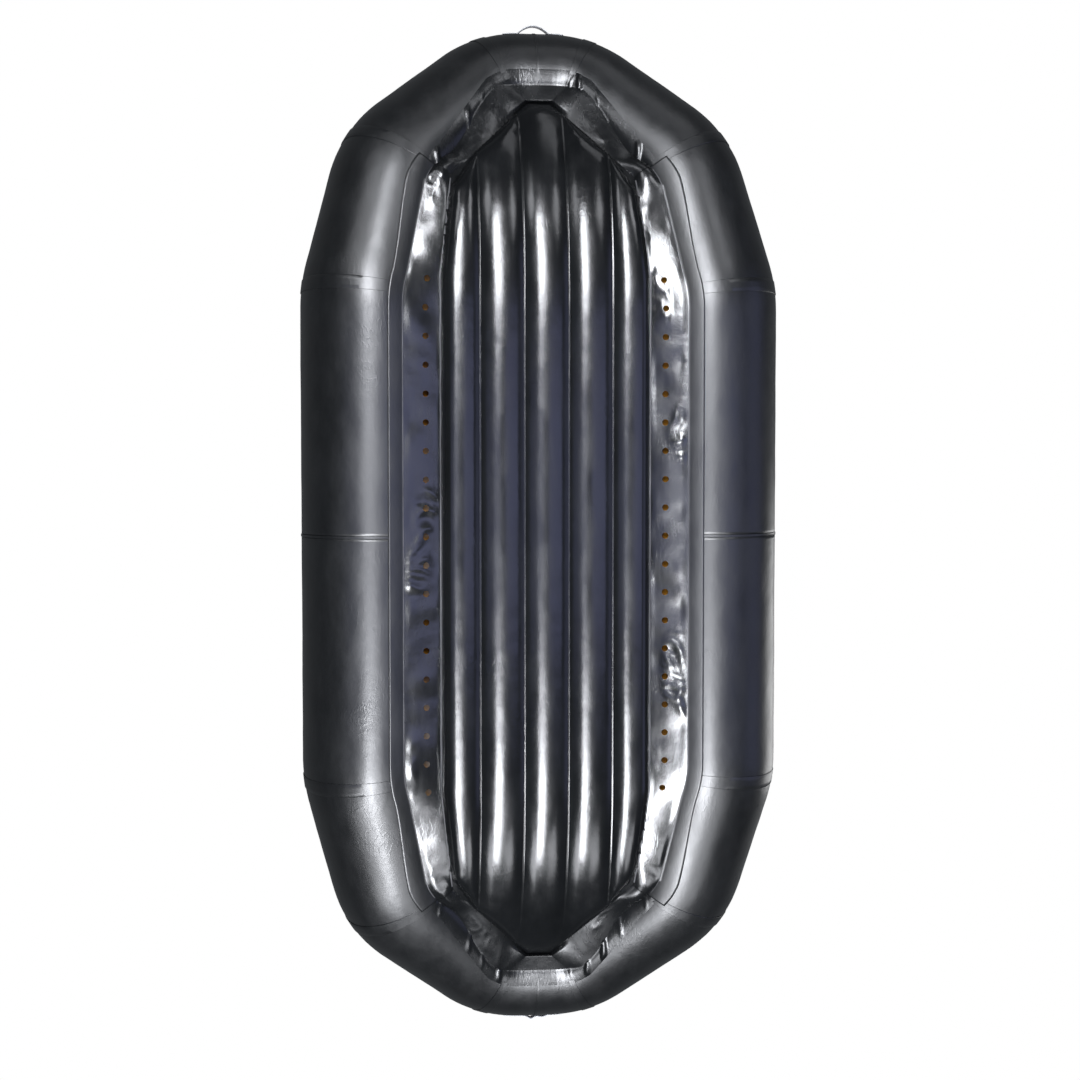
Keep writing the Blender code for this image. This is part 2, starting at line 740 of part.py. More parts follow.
def thwart_stations(along):
    """The thwart's centre line from the starboard side tube's middle to the port one's."""
    height = GROUND_CLEARANCE + FLOOR_THICKNESS + FOOT_GAP + THWART_RADIUS
    reach = HALF_WIDTH - SIDE_RADIUS
    ends = [Vector((sign * reach, along * THWART_Y, height)) for sign in (1, -1)]
    return [Station(end, THWART_RADIUS, Vector((-1, 0, 0))) for end in ends]


def build_thwarts():
    """Two sealed tubes, their ends cut to the side tubes that they are welded to."""
    aft_start = SIDE_START._replace(centre=SIDE_START.centre * Vector((1, -1, 1)))
    rows = [tube_ring(station, CLEARANCE) for station in (aft_start, SIDE_START)]
    thwarts = {}
    saddles = []
    for side, across in SIDES.items():
        saddle = reflected(sheet_mesh(rows, closed=True, capped=True), across, 1)
        saddles.append(add_cutter(f"{side}_saddle", saddle))
    for half, along in HALVES.items():
        rows = [tube_ring(station, 0, THWART_SIDES) for station in thwart_stations(along)]
        thwart = add_piece(f"{half}_thwart", sheet_mesh(rows, closed=True), TUBE_FABRIC)
        thicken(thwart, SKIN, -1)
        for saddle in saddles:
            boolean(thwart, saddle, "DIFFERENCE")
        thwarts[half] = thwart
    return thwarts


# Valves

FLANGE_TOP = CLEARANCE + VALVE_FLANGE_THICKNESS
COLLAR_TOP = FLANGE_TOP + VALVE_COLLAR_HEIGHT


def valve_body_mesh():
    """A flanged barrel with a bridge across its bore that guides the poppet's stem."""
    body = turned_mesh(
        [
            (VALVE_BORE_RADIUS, COLLAR_TOP),
            (VALVE_COLLAR_RADIUS, COLLAR_TOP),
            (VALVE_COLLAR_RADIUS, FLANGE_TOP),
            (VALVE_FLANGE_RADIUS, FLANGE_TOP),
            (VALVE_FLANGE_RADIUS, CLEARANCE),
            (VALVE_BARREL_RADIUS, CLEARANCE),
            (VALVE_BARREL_RADIUS, -VALVE_BARREL_DEPTH),
            (VALVE_BORE_RADIUS, -VALVE_BARREL_DEPTH),
        ],
        VALVE_STEPS,
        closed=True,
    )
    reach = (VALVE_BORE_RADIUS + VALVE_BARREL_RADIUS) / 2
    top, bottom = -VALVE_BRIDGE_DEPTH, -VALVE_BRIDGE_DEPTH - VALVE_BRIDGE_THICKNESS
    half_bridge = VALVE_BRIDGE_WIDTH / 2
    bridge = box_mesh((-reach, -half_bridge, bottom), (reach, half_bridge, top))
    guide_radius = (POPPET_STEM_RADIUS + FIT_CLEARANCE) / math.cos(math.pi / STEM_SIDES)
    guide = cylinder_mesh(guide_radius, bottom - FIT_CLEARANCE, top + FIT_CLEARANCE, STEM_SIDES)
    return combined_mesh(body, [("UNION", bridge), ("DIFFERENCE", guide)])


def poppet_mesh():
    """A button, a stem and the disc that seals the barrel's lower end."""
    top = COLLAR_TOP - POPPET_BUTTON_DROP
    seat = -VALVE_BARREL_DEPTH - CLEARANCE
    disc = (VALVE_BORE_RADIUS + VALVE_BARREL_RADIUS) / 2
    profile = [
        (0, top),
        (POPPET_BUTTON_RADIUS, top),
        (POPPET_BUTTON_RADIUS, top - POPPET_BUTTON_THICKNESS),
        (POPPET_STEM_RADIUS, top - POPPET_BUTTON_THICKNESS),
        (POPPET_STEM_RADIUS, seat),
        (disc, seat),
        (disc, seat - POPPET_DISC_THICKNESS),
        (0, seat - POPPET_DISC_THICKNESS),
    ]
    return turned_mesh(profile, STEM_SIDES)


def cap_mesh():
    """A cup over the collar, with a bar across its top to turn it by."""
    inner = (VALVE_COLLAR_RADIUS + FIT_CLEARANCE) / math.cos(math.pi / VALVE_STEPS)
    outer = inner + CAP_WALL
    ceiling = COLLAR_TOP + CLEARANCE
    top = ceiling + CAP_WALL
    profile = [
        (0, top),
        (outer - CAP_WALL / 2, top),
        (outer, top - CAP_WALL / 2),
        (outer, FLANGE_TOP + CLEARANCE),
        (inner, FLANGE_TOP + CLEARANCE),
        (inner, ceiling),
        (0, ceiling),
    ]
    reach, half = outer * 0.8, CAP_GRIP_WIDTH / 2
    grip = box_mesh((-reach, -half, top - CAP_WALL / 2), (reach, half, top + CAP_GRIP_HEIGHT))
    return combined_mesh(turned_mesh(profile, VALVE_STEPS), [("UNION", grip)])


def plain_valve_mesh():
    """A thwart's smaller valve, whose sealing parts are closed in."""
    profile = [
        (0, COLLAR_TOP),
        (VALVE_COLLAR_RADIUS, COLLAR_TOP),
        (VALVE_COLLAR_RADIUS, FLANGE_TOP),
        (VALVE_FLANGE_RADIUS, FLANGE_TOP),
        (VALVE_FLANGE_RADIUS, CLEARANCE),
        (VALVE_BARREL_RADIUS, CLEARANCE),
        (VALVE_BARREL_RADIUS, -VALVE_BARREL_DEPTH),
        (0, -VALVE_BARREL_DEPTH),
    ]
    return turned_mesh(profile, VALVE_STEPS)


def relief_valve_mesh():
    """A low dome that lets air out when the floor's pressure climbs."""
    profile = [
        (0, FLANGE_TOP + RELIEF_DOME_HEIGHT),
        (RELIEF_DOME_RADIUS * 0.7, FLANGE_TOP + RELIEF_DOME_HEIGHT * 0.8),
        (RELIEF_DOME_RADIUS, FLANGE_TOP),
        (VALVE_FLANGE_RADIUS, FLANGE_TOP),
        (VALVE_FLANGE_RADIUS, CLEARANCE),
        (RELIEF_BARREL_RADIUS, CLEARANCE),
        (RELIEF_BARREL_RADIUS, -RELIEF_BARREL_DEPTH),
        (0, -RELIEF_BARREL_DEPTH),
    ]
    return turned_mesh(profile, VALVE_STEPS)


def cut_valve_hole(skin, name, frame, barrel_radius):
    """A round hole in the fabric that the valve's barrel passes through."""
    radius = (barrel_radius + FIT_CLEARANCE) / math.cos(math.pi / VALVE_STEPS)
    cutter = cylinder_mesh(radius, -VALVE_BARREL_DEPTH, VALVE_BARREL_DEPTH, VALVE_STEPS)
    boolean(skin, add_cutter(f"{name}_hole", cutter, frame), "DIFFERENCE")


def build_valves(quarters, thwarts, floor_top):
    body, poppet, cap = valve_body_mesh(), poppet_mesh(), cap_mesh()
    plain, relief = plain_valve_mesh(), relief_valve_mesh()
    frames = {}
    for (side, end), skin in quarters.items():
        frame = facet_frame(
            SIDE_END, QUARTER_START, 0.5, QUARTER_VALVE_ANGLE, SIDES[side], ENDS[end]
        )
        frames[f"{side}_{end}_valve"] = (skin, frame)
    crest = floor_middle(0) + FLOOR_THICKNESS / 2
    frames["floor_valve"] = (floor_top, Matrix.Translation((0, FLOOR_VALVE_Y, crest)))
    for name, (skin, frame) in frames.items():
        cut_valve_hole(skin, name, frame, VALVE_BARREL_RADIUS)
        add_piece(f"{name}_body", body, BLACK_PLASTIC, frame)
        add_piece(f"{name}_poppet", poppet, BLACK_PLASTIC, frame)
        add_piece(f"{name}_cap", cap, BLACK_PLASTIC, frame)
    frame = Matrix.Translation((0, -FLOOR_VALVE_Y, crest))
    cut_valve_hole(floor_top, "floor_relief_valve", frame, RELIEF_BARREL_RADIUS)
    add_piece("floor_relief_valve", relief, BLACK_PLASTIC, frame)
    for half, thwart in thwarts.items():
        start, end = thwart_stations(1)
        frame = facet_frame(
            start, end, THWART_VALVE_SHARE, THWART_VALVE_ANGLE, 1, HALVES[half], THWART_SIDES
        )
        cut_valve_hole(thwart, f"{half}_thwart_valve", frame, VALVE_BARREL_RADIUS)
        add_piece(f"{half}_thwart_valve_body", plain, BLACK_PLASTIC, frame)
        add_piece(f"{half}_thwart_valve_cap", cap, BLACK_PLASTIC, frame)


# D-rings

LOOP_BORE = D_RING_WIRE_RADIUS + FIT_CLEARANCE
LOOP_RADIUS = LOOP_BORE + WEBBING_THICKNESS
PATCH_TOP = CLEARANCE + PATCH_THICKNESS
BAR_HEIGHT = PATCH_TOP + LOOP_RADIUS
D_RING_ANGLE = FACET - 180


def d_ring_mesh():
    """A welded wire D in the XY plane, with its straight bar on the Y axis and its bow towards +X."""
    half, corner = D_RING_HALF_BAR, D_RING_CORNER
    points = [(0, half - corner), (corner * 0.3, half - corner * 0.3)]
    for k in range(D_RING_ARC_STEPS + 1):
        turn = math.pi * (0.5 - k / D_RING_ARC_STEPS)
        points.append((D_RING_LEG + half * math.cos(turn), half * math.sin(turn)))
    points += [(corner * 0.3, corner * 0.3 - half), (0, corner - half)]
    curve = bpy.data.curves.new("d_ring", "CURVE")
    curve.dimensions = "3D"
    curve.bevel_depth = D_RING_WIRE_RADIUS
    curve.bevel_resolution = 1
    spline = curve.splines.new("POLY")
    spline.points.add(len(points) - 1)
    for point, (x, y) in zip(spline.points, points):
        point.co = (x, y, 0, 1)
    spline.use_cyclic_u = True
    wire = bpy.data.objects.new("d_ring_wire", curve)
    CUTTERS.objects.link(wire)
    return settled_mesh(wire)


def anchor_mesh():
    """A glued oblong patch with webbing that loops round the D-ring's bar. X is out along the ring, Z up."""
    patch = cylinder_mesh(PATCH_HALF_WIDTH, CLEARANCE, PATCH_TOP, PATCH_SIDES)
    for vert in patch.vertices:
        if abs(vert.co.y) > 1e-6:
            vert.co.y += math.copysign(PATCH_HALF_LENGTH - PATCH_HALF_WIDTH, vert.co.y)
    wide = WEBBING_HALF_WIDTH
    tails = box_mesh((-WEBBING_TAIL, -wide, PATCH_TOP / 2), (WEBBING_TAIL, wide, PATCH_TOP + WEBBING_THICKNESS))
    foot = box_mesh((-LOOP_RADIUS, -wide, PATCH_TOP / 2), (LOOP_RADIUS, wide, BAR_HEIGHT))
    lying = Matrix.Translation((0, 0, BAR_HEIGHT)) @ Matrix.Rotation(math.pi / 2, 4, "X")
    loop = cylinder_mesh(LOOP_RADIUS, -wide, wide, LOOP_SIDES)
    loop.transform(lying)
    bore_radius = LOOP_BORE / math.cos(math.pi / LOOP_SIDES)
    bore = cylinder_mesh(bore_radius, -2 * wide, 2 * wide, LOOP_SIDES)
    bore.transform(lying)
    steps = [("UNION", tails), ("UNION", foot), ("UNION", loop), ("DIFFERENCE", bore)]
    return combined_mesh(patch, steps)


def d_ring_frame(across, along):
    """On the facet outboard of the top one, which a rowing frame rests on: Z is out of it and X down it."""
    station = moved(AMIDSHIPS, SIDE_HALF_LENGTH - D_RING_FROM_SEAM)
    point = tube_point(station, D_RING_ANGLE)
    out = (point - station.centre).normalized()
    down = Vector((out.z, 0, -out.x))
    signs = Vector((across, along, 1))
    return framed(point * signs, down * signs, out * signs)


def build_d_rings():
    anchor, ring = anchor_mesh(), d_ring_mesh()
    for side, across in SIDES.items():
        for half, along in HALVES.items():
            frame = d_ring_frame(across, along)
            name = f"{side}_{half}_d_ring"
            add_piece(f"{name}_anchor", anchor, GREY_WEBBING, frame)
            add_piece(name, ring, STEEL, frame @ Matrix.Translation((0, 0, BAR_HEIGHT)))


# Carry handles


def handle_foot_row(x, standoff):
    """Two points across the webbing where it lies on the nose's side, at this distance from the middle."""
    half_angle = math.degrees(math.atan(HANDLE_WIDTH / 2 / NOSE_RADIUS))
    row = []
    for angle in (-90 - half_angle, -90 + half_angle):
        start, end = tube_point(NOSE_END, angle, standoff), tube_point(NOSE_SEAM, angle, standoff)
        row.append(start.lerp(end, (x - start.x) / (end.x - start.x)))
    return row


def handle_rows():
    """The starboard half of the webbing, from the middle of its grip to the end of its sewn foot."""
    standoff = CLEARANCE + HANDLE_THICKNESS / 2
    foot = handle_foot_row(HANDLE_HALF_SPAN, standoff)
    outermost = BOW_CENTRE.centre.y + BOW_CENTRE.radius + standoff + HANDLE_REACH
    rows = []
    for k in range(HANDLE_STEPS):
        share = k / HANDLE_STEPS
        row = []
        for point, sign in zip(foot, (1, -1)):
            y = outermost + (point.y - outermost) * share**2
            middle_z = BOW_CENTRE.centre.z + sign * HANDLE_WIDTH / 2
            row.append(Vector((point.x * share, y, middle_z + (point.z - middle_z) * share)))
        rows.append(row)
    return rows + [foot, handle_foot_row(HANDLE_HALF_SPAN + HANDLE_FOOT, standoff)]


def build_handles():
    for end, along in ENDS.items():
        handle = add_piece(f"{end}_handle", reflected(sheet_mesh(handle_rows()), 1, along), GREY_WEBBING)
        mirror(handle, across=True)
        thicken(handle, HANDLE_THICKNESS, 0)


build_baffles()
build_flaps()
build_valves(build_tubes(), build_thwarts(), build_floor())
build_d_rings()
build_handles()
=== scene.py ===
"""Looks of the self-bailing raft: its coated fabric, taped seams, crinkled flaps, valves and fittings.

All lengths are in metres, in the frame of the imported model: the bow is along +Y and starboard along +X.
"""

import bisect
import json
import math
from collections import namedtuple

import bmesh
import bpy
from mathutils import Matrix, Vector, noise

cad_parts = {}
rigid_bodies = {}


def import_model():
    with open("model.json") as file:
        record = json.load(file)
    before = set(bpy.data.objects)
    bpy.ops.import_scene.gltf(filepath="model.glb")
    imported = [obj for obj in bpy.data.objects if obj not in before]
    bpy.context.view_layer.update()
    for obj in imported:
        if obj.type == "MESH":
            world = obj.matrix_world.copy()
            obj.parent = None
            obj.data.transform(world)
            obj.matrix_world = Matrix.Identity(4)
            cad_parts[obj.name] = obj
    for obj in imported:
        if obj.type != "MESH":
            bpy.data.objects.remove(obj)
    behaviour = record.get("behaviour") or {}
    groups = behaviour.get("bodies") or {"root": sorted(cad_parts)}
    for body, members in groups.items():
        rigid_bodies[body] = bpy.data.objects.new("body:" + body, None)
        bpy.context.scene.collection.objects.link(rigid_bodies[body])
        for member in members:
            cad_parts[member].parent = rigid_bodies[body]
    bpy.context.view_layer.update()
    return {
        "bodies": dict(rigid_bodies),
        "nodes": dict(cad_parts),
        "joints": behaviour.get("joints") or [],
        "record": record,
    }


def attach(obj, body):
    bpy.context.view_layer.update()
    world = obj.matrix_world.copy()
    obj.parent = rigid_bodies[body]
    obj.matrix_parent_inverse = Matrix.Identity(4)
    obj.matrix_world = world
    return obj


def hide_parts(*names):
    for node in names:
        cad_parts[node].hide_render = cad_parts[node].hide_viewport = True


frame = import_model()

HULL = "hull"
UP = Vector((0, 0, 1))
ENDS = {"bow": 1, "stern": -1}
HALVES = {"fore": 1, "aft": -1}
SIDES = {"starboard": 1, "port": -1}
SHARP_ANGLE = math.radians(40)

# Driving sizes, as in the model
HALF_WIDTH = 0.99
SIDE_RADIUS = 0.28
SIDE_HALF_LENGTH = 0.985
QUARTER_RADIUS = 0.26
QUARTER_END_X = 0.59
QUARTER_END_Y = 1.52
QUARTER_RISE = 0.115
NOSE_RADIUS = 0.215
NOSE_HALF_LENGTH = 0.18
NOSE_Y = 1.90
NOSE_RISE = 0.305
SIDE_BEND = 0.06
QUARTER_BEND = 0.11
NOSE_BEND = 0.12
FLOOR_THICKNESS = 0.13
FLOOR_BOTTOM = 0.006
FLOOR_HALF_WIDTH = 0.425
CHAMBER_PITCH = 0.18
CHAMBER_CROWN = 0.028
TAPER_START = 1.05
SHOULDER_HALF_WIDTH = 0.375
SHOULDER_Y = QUARTER_END_Y - 0.055
TIP_HALF_WIDTH = 0.05
TIP_Y = NOSE_Y - 0.11
TIP_RISE = 0.300
ROCKER_START = 0.9
ROCKER_POWER = 2.5
SKIN = 0.0015
TOUCH = 0.0003

# Angles round a tube, in degrees from straight down and up towards the inside
BAND_START_ANGLE = 14.0
SIDE_FOLD_ANGLE = 27.0
END_FOLD_ANGLE = 9.0
END_BAND_START_ANGLE = 18.0
COLOUR_LINE_ANGLE = -99.0
# Up to this angle, beside the floor, the yellow is painted a darker amber as painted shade
PAINTED_SHADE_ANGLE = 60.0
TUBE_STEP = 3.0

# How close together the rows of the meshes are
TUBE_SPACING = 0.018
THWART_SPACING = 0.022
FLOOR_SPACING = 0.02
FLAP_SPACING = 0.006
BEAD_SPACING = 0.02
WEB_SPACING = 0.03
WEBBING_SPACING = 0.004
BEND_STEPS = 8

# Seams
TAPE_HALF_WIDTH = 0.017
TAPE_THICKNESS = 0.0014
NARROW_TAPE_HALF_WIDTH = 0.005

# Drain holes
HOLE_RADIUS = 0.0125
HOLE_PITCH = 0.1154
HOLE_COUNT = 19
HOLE_SHARE = 0.6
HOLE_SIDES = 32
HOLE_DEPTH = 0.06

# Thwarts
THWART_RADIUS = 0.17
THWART_Y = 0.50
FOOT_GAP = 0.05
THWART_Z = FLOOR_BOTTOM + FLOOR_THICKNESS + FOOT_GAP + THWART_RADIUS

# Valves
FLANGE_RADIUS = 0.031
FLANGE_TOP = TOUCH + 0.002
FLANGE_UNDERSIDE = (FLANGE_RADIUS, 0.027, 0.022)
COLLAR_RADIUS = 0.021
COLLAR_TOP = FLANGE_TOP + 0.008
BARREL_RADIUS = 0.017
BARREL_DEPTH = 0.026
BORE_RADIUS = 0.013
BRIDGE_TOP = -0.012
BRIDGE_THICKNESS = 0.005
BRIDGE_WIDTH = 0.010
STEM_RADIUS = 0.0025
STEM_GAP = 0.0004
BUTTON_RADIUS = 0.006
BUTTON_DEPTH = 0.002
POPPET_STEPS = 32
DISC_THICKNESS = 0.003
CAP_INNER = 0.0217
CAP_OUTER = 0.0250
CAP_WALL = 0.0025
GRIP_HALF_LENGTH = 0.020
GRIP_WIDTH = 0.007
GRIP_HEIGHT = 0.005
GRIP_FOOT = 0.0008
GRIP_BEVEL = 0.0014
QUARTER_VALVE_ANGLE = 144.0
THWART_VALVE_ANGLE = 135.0
THWART_VALVE_SHARE = 0.30
FLOOR_VALVE_Y = 0.80
RELIEF_BARREL_RADIUS = 0.015
RELIEF_BARREL_DEPTH = 0.020
RELIEF_DOME_RADIUS = 0.020
RELIEF_DOME_HEIGHT = 0.009
DOME_STEPS = 9
VENT_DEPTH = 0.0016
VENT_REACH = (0.4, 0.9)
VALVE_STEPS = 96
BORE_GAP = 0.0006
DRILL_REACH = 0.03
DRILL_SIDES = 48

# D-rings and their anchors
D_RING_Y = 0.80
D_RING_ANGLE = 18.0 - 180.0
D_RING_HALF_BAR = 0.027
D_RING_LEG = 0.008
D_RING_WIRE = 0.003
D_RING_CORNER = 0.004
CORNER_STEPS = 6
BOW_STEPS = 40
WIRE_SIDES = 20
PATCH_HALF_WIDTH = 0.040
PATCH_HALF_LENGTH = 0.070
PATCH_TOP = TOUCH + 0.002
PATCH_BEVEL = 0.0008
PATCH_STEPS = 96
WEBBING_THICKNESS = 0.0015
WEBBING_HALF_WIDTH = 0.021
WEBBING_TAIL = 0.030
WIRE_GAP = 0.0004
LOOP_RADIUS = D_RING_WIRE + WIRE_GAP + WEBBING_THICKNESS / 2
LOOP_FOOT = 1.9 * LOOP_RADIUS
LOOP_START, LOOP_SWEEP, LOOP_STEPS = 205, 230, 24
BAR_HEIGHT = PATCH_TOP + D_RING_WIRE + WIRE_GAP + WEBBING_THICKNESS
ANCHOR_STITCHES = (0.011, 0.028, 0.018)

# Carry handles
HANDLE_WIDTH = 0.040
HANDLE_THICKNESS = 0.003
HANDLE_HALF_GRIP = 0.066
HANDLE_END = 0.13
HANDLE_REACH = 0.032
HANDLE_STITCHES = (0.082, 0.124, 0.016)
SLUMP_PEAKS = ((0.013, 0.012, 0.016), (0.006, -0.035, 0.02))
SLUMP_DROOP = 0.006
HALVINGS = 40

# Baffles in the tubes, and webs in the floor
BAFFLE_RIM = 0.03
BAFFLE_DISH = 0.09
GLUE_GAP = 0.004

# Camera, under the raft as in the photograph
CAMERA_PLACE = Vector((0.9205, 0.4149, -8.2294))
CAMERA_AHEAD = Vector((-0.10726, -0.05154, 0.99289))
CAMERA_UP = Vector((-0.00571, 0.99867, 0.05122))
CAMERA_LENS = 68.504
CAMERA_SENSOR = 36.0


# Materials

NOISE_RANGE = (0.3, 0.7)


def set_inputs(tree, node, inputs):
    """Puts values or links on a node's inputs."""
    for key, value in inputs.items():
        if isinstance(value, bpy.types.NodeSocket):
            tree.links.new(value, node.inputs[key])
        else:
            node.inputs[key].default_value = value


def add_node(tree, kind, inputs=None, **settings):
    node = tree.nodes.new(kind)
    for key, value in settings.items():
        setattr(node, key, value)
    set_inputs(tree, node, inputs or {})
    return node


def new_material(name):
    """A material, its node tree, its shader, and what a node knows of the surface."""
    material = bpy.data.materials.new(name)
    material.use_nodes = True
    tree = material.node_tree
    return material, tree, tree.nodes["Principled BSDF"], add_node(tree, "ShaderNodeNewGeometry").outputs


def noise_value(tree, coordinates, scale, detail, roughness=0.5, stretch=None):
    """A noise texture's value at a scale in features per metre, which may be stretched along an axis."""
    if stretch is not None:
        mapping = add_node(tree, "ShaderNodeMapping", {"Vector": coordinates, "Scale": stretch})
        coordinates = mapping.outputs["Vector"]
    inputs = {"Vector": coordinates, "Scale": scale, "Detail": detail, "Roughness": roughness}
    return add_node(tree, "ShaderNodeTexNoise", inputs).outputs["Fac"]


def ranged(tree, value, low, high, to_low, to_high):
    inputs = {"Value": value, "From Min": low, "From Max": high, "To Min": to_low, "To Max": to_high}
    return add_node(tree, "ShaderNodeMapRange", inputs).outputs["Result"]


def spread(tree, value, to_low, to_high):
    """The range that most of a noise's values are in, turned into another."""
    return ranged(tree, value, *NOISE_RANGE, to_low, to_high)


def computed(tree, operation, *values, **settings):
    inputs = dict(enumerate(values))
    return add_node(tree, "ShaderNodeMath", inputs, operation=operation, **settings).outputs[0]


def bumped(tree, height, distance, strength, normal=None):
    inputs = {"Height": height, "Distance": distance, "Strength": strength}
    if normal is not None:
        inputs["Normal"] = normal
    return add_node(tree, "ShaderNodeBump", inputs).outputs["Normal"]


def blended_colour(tree, share, colours):
    ramp = add_node(tree, "ShaderNodeValToRGB", {"Fac": share})
    for element, colour in zip(ramp.color_ramp.elements, colours):
        element.color = (*colour, 1)
    return ramp.outputs["Color"]


# The coated fabric's noises: scale, detail, roughness and stretch
CLOUDS = (3.5, 5.0, 0.6)
SMEARS = (14.0, 4.0, 0.65, (1.0, 0.35, 1.0))
WEAVE = (900.0, 2.0, 0.6)
DENTS = (22.0, 3.0, 0.55)
CREASES = (46.0, 2.0, 0.4, (1.0, 0.45, 1.0))
CREASED_PATCHES = (5.0, 2.0)
DENT_DEPTH, CREASE_DEPTH, WEAVE_DEPTH = 0.0022, 0.0008, 0.00012


def coated_fabric(name, colours, gloss, crease, ior=1.5):
    """Coated fabric: a fine weave under the coat, soft dents, short creases and uneven gloss."""
    material, tree, shader, surface = new_material(name)
    place = surface["Position"]
    shade = spread(tree, noise_value(tree, place, *CLOUDS), 0.0, 1.0)
    beside = computed(tree, "ABSOLUTE", computed(tree, "SUBTRACT", noise_value(tree, place, *CREASES), 0.5))
    patches = ranged(tree, noise_value(tree, place, *CREASED_PATCHES), 0.52, 0.68, 0.0, 1.0)
    creases = computed(tree, "MULTIPLY", ranged(tree, beside, 0.0, 0.05, 1.0, 0.0), patches)
    normal = bumped(tree, noise_value(tree, place, *DENTS), DENT_DEPTH * crease, 0.6)
    normal = bumped(tree, creases, CREASE_DEPTH * crease, 0.55, normal)
    set_inputs(tree, shader, {
        "Base Color": blended_colour(tree, shade, colours),
        "Roughness": spread(tree, noise_value(tree, place, *SMEARS), *gloss),
        "Normal": bumped(tree, noise_value(tree, place, *WEAVE), WEAVE_DEPTH, 0.35, normal),
        "IOR": ior,
    })
    return material


def webbing_material(name, colours):
    """Woven webbing: ribs across it, a fine twill and a rough dry surface."""
    material, tree, shader, surface = new_material(name)
    place = surface["Position"]
    cloudy = noise_value(tree, place, 120.0, 4.0)
    wave = {"Vector": place, "Scale": 160.0, "Distortion": 0.6, "Detail": 1.0}
    ribs = add_node(tree, "ShaderNodeTexWave", wave, bands_direction="DIAGONAL").outputs["Fac"]
    twill = noise_value(tree, place, 1400.0, 2.0)
    set_inputs(tree, shader, {
        "Base Color": blended_colour(tree, cloudy, colours),
        "Roughness": spread(tree, cloudy, 0.65, 0.85),
        "Normal": bumped(tree, twill, 0.0002, 0.4, bumped(tree, ribs, 0.0006, 0.6)),
        "Sheen Weight": 0.25,
    })
    return material


def moulded_plastic(name, colours):
    material, tree, shader, surface = new_material(name)
    place = surface["Position"]
    cloudy = noise_value(tree, place, 60.0, 4.0)
    set_inputs(tree, shader, {
        "Base Color": blended_colour(tree, cloudy, colours),
        "Roughness": spread(tree, cloudy, 0.38, 0.52),
        "Normal": bumped(tree, noise_value(tree, place, 2200.0, 2.0), 0.0001, 0.4),
    })
    return material


def drawn_steel(name, colours):
    """Polished wire with fine streaks along it."""
    material, tree, shader, surface = new_material(name)
    streaks = noise_value(tree, surface["Position"], 400.0, 3.0, 0.6, (0.2, 1.0, 1.0))
    set_inputs(tree, shader, {
        "Base Color": blended_colour(tree, streaks, colours),
        "Roughness": spread(tree, streaks, 0.14, 0.28),
        "Normal": bumped(tree, streaks, 0.0001, 0.2),
        "Metallic": 1.0,
    })
    return material


DARK = ((0.0018, 0.002, 0.0022), (0.0032, 0.0035, 0.0038))
# A lighter grey: a painted highlight along the drain flaps' beads, whose round shape also catches real
# highlights
PAINTED_HIGHLIGHT_GREY = ((0.012, 0.012, 0.013), (0.055, 0.055, 0.058))
# A darker amber: painted shade on the yellow in the crevice between the tubes and the floor
PAINTED_SHADE_AMBER = ((0.14, 0.05, 0.003), (0.34, 0.15, 0.006))
BLACK = coated_fabric("black_fabric", DARK, (0.31, 0.41), 0.5)
BLACK_FLOOR = coated_fabric("black_floor_fabric", DARK, (0.16, 0.25), 0.35, 1.46)
BLACK_FLAP = coated_fabric("black_flap_fabric", DARK, (0.19, 0.29), 0.45, 1.56)
BLACK_END_FLAP = coated_fabric("black_end_flap_fabric", DARK, (0.22, 0.32), 0.5, 1.42)
# The beads' fabric, painted lighter as a painted highlight
PAINTED_HIGHLIGHT_FABRIC = coated_fabric("painted_highlight_fabric", PAINTED_HIGHLIGHT_GREY, (0.3, 0.45), 0.5)
YELLOW = coated_fabric("yellow_fabric", ((0.78, 0.40, 0.018), (0.86, 0.47, 0.03)), (0.34, 0.46), 0.7)
# The yellow painted darker, as painted shade beside the floor
PAINTED_SHADE_YELLOW = coated_fabric("painted_shade_yellow_fabric", PAINTED_SHADE_AMBER, (0.42, 0.55), 0.7)
THREAD = webbing_material("white_thread", ((0.55, 0.55, 0.53), (0.70, 0.70, 0.67)))
WEBBING = webbing_material("grey_webbing", ((0.16, 0.165, 0.17), (0.30, 0.305, 0.31)))
PLASTIC = moulded_plastic("black_plastic", ((0.014, 0.014, 0.015), (0.03, 0.03, 0.03)))
STEEL = drawn_steel("steel", ((0.55, 0.56, 0.58), (0.74, 0.74, 0.75)))


# Meshes

INWARD, CENTRED, OUTWARD = -1, 0, 1


def linked(name, data):
    """A new object in the scene."""
    obj = bpy.data.objects.new(name, data)
    bpy.context.scene.collection.objects.link(obj)
    return obj


def made_piece(name, mesh, material, node=None, body=HULL):
    """A piece of the raft that rides on a body, and may stand for a CAD node."""
    obj = linked(name, mesh)
    if not mesh.materials:
        mesh.materials.append(material)
    mesh.shade_smooth()
    mesh.set_sharp_from_angle(angle=SHARP_ANGLE)
    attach(obj, body)
    if node:
        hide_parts(node)
    return obj


def made_fabric(name, mesh, material, offset):
    """The fabric that stands for a node, with its thickness inward, centred or outward of its mesh."""
    obj = made_piece(f"{name}_fabric", mesh, material, name)
    modifier = obj.modifiers.new("fabric", "SOLIDIFY")
    modifier.thickness = SKIN
    modifier.offset = offset
    return obj


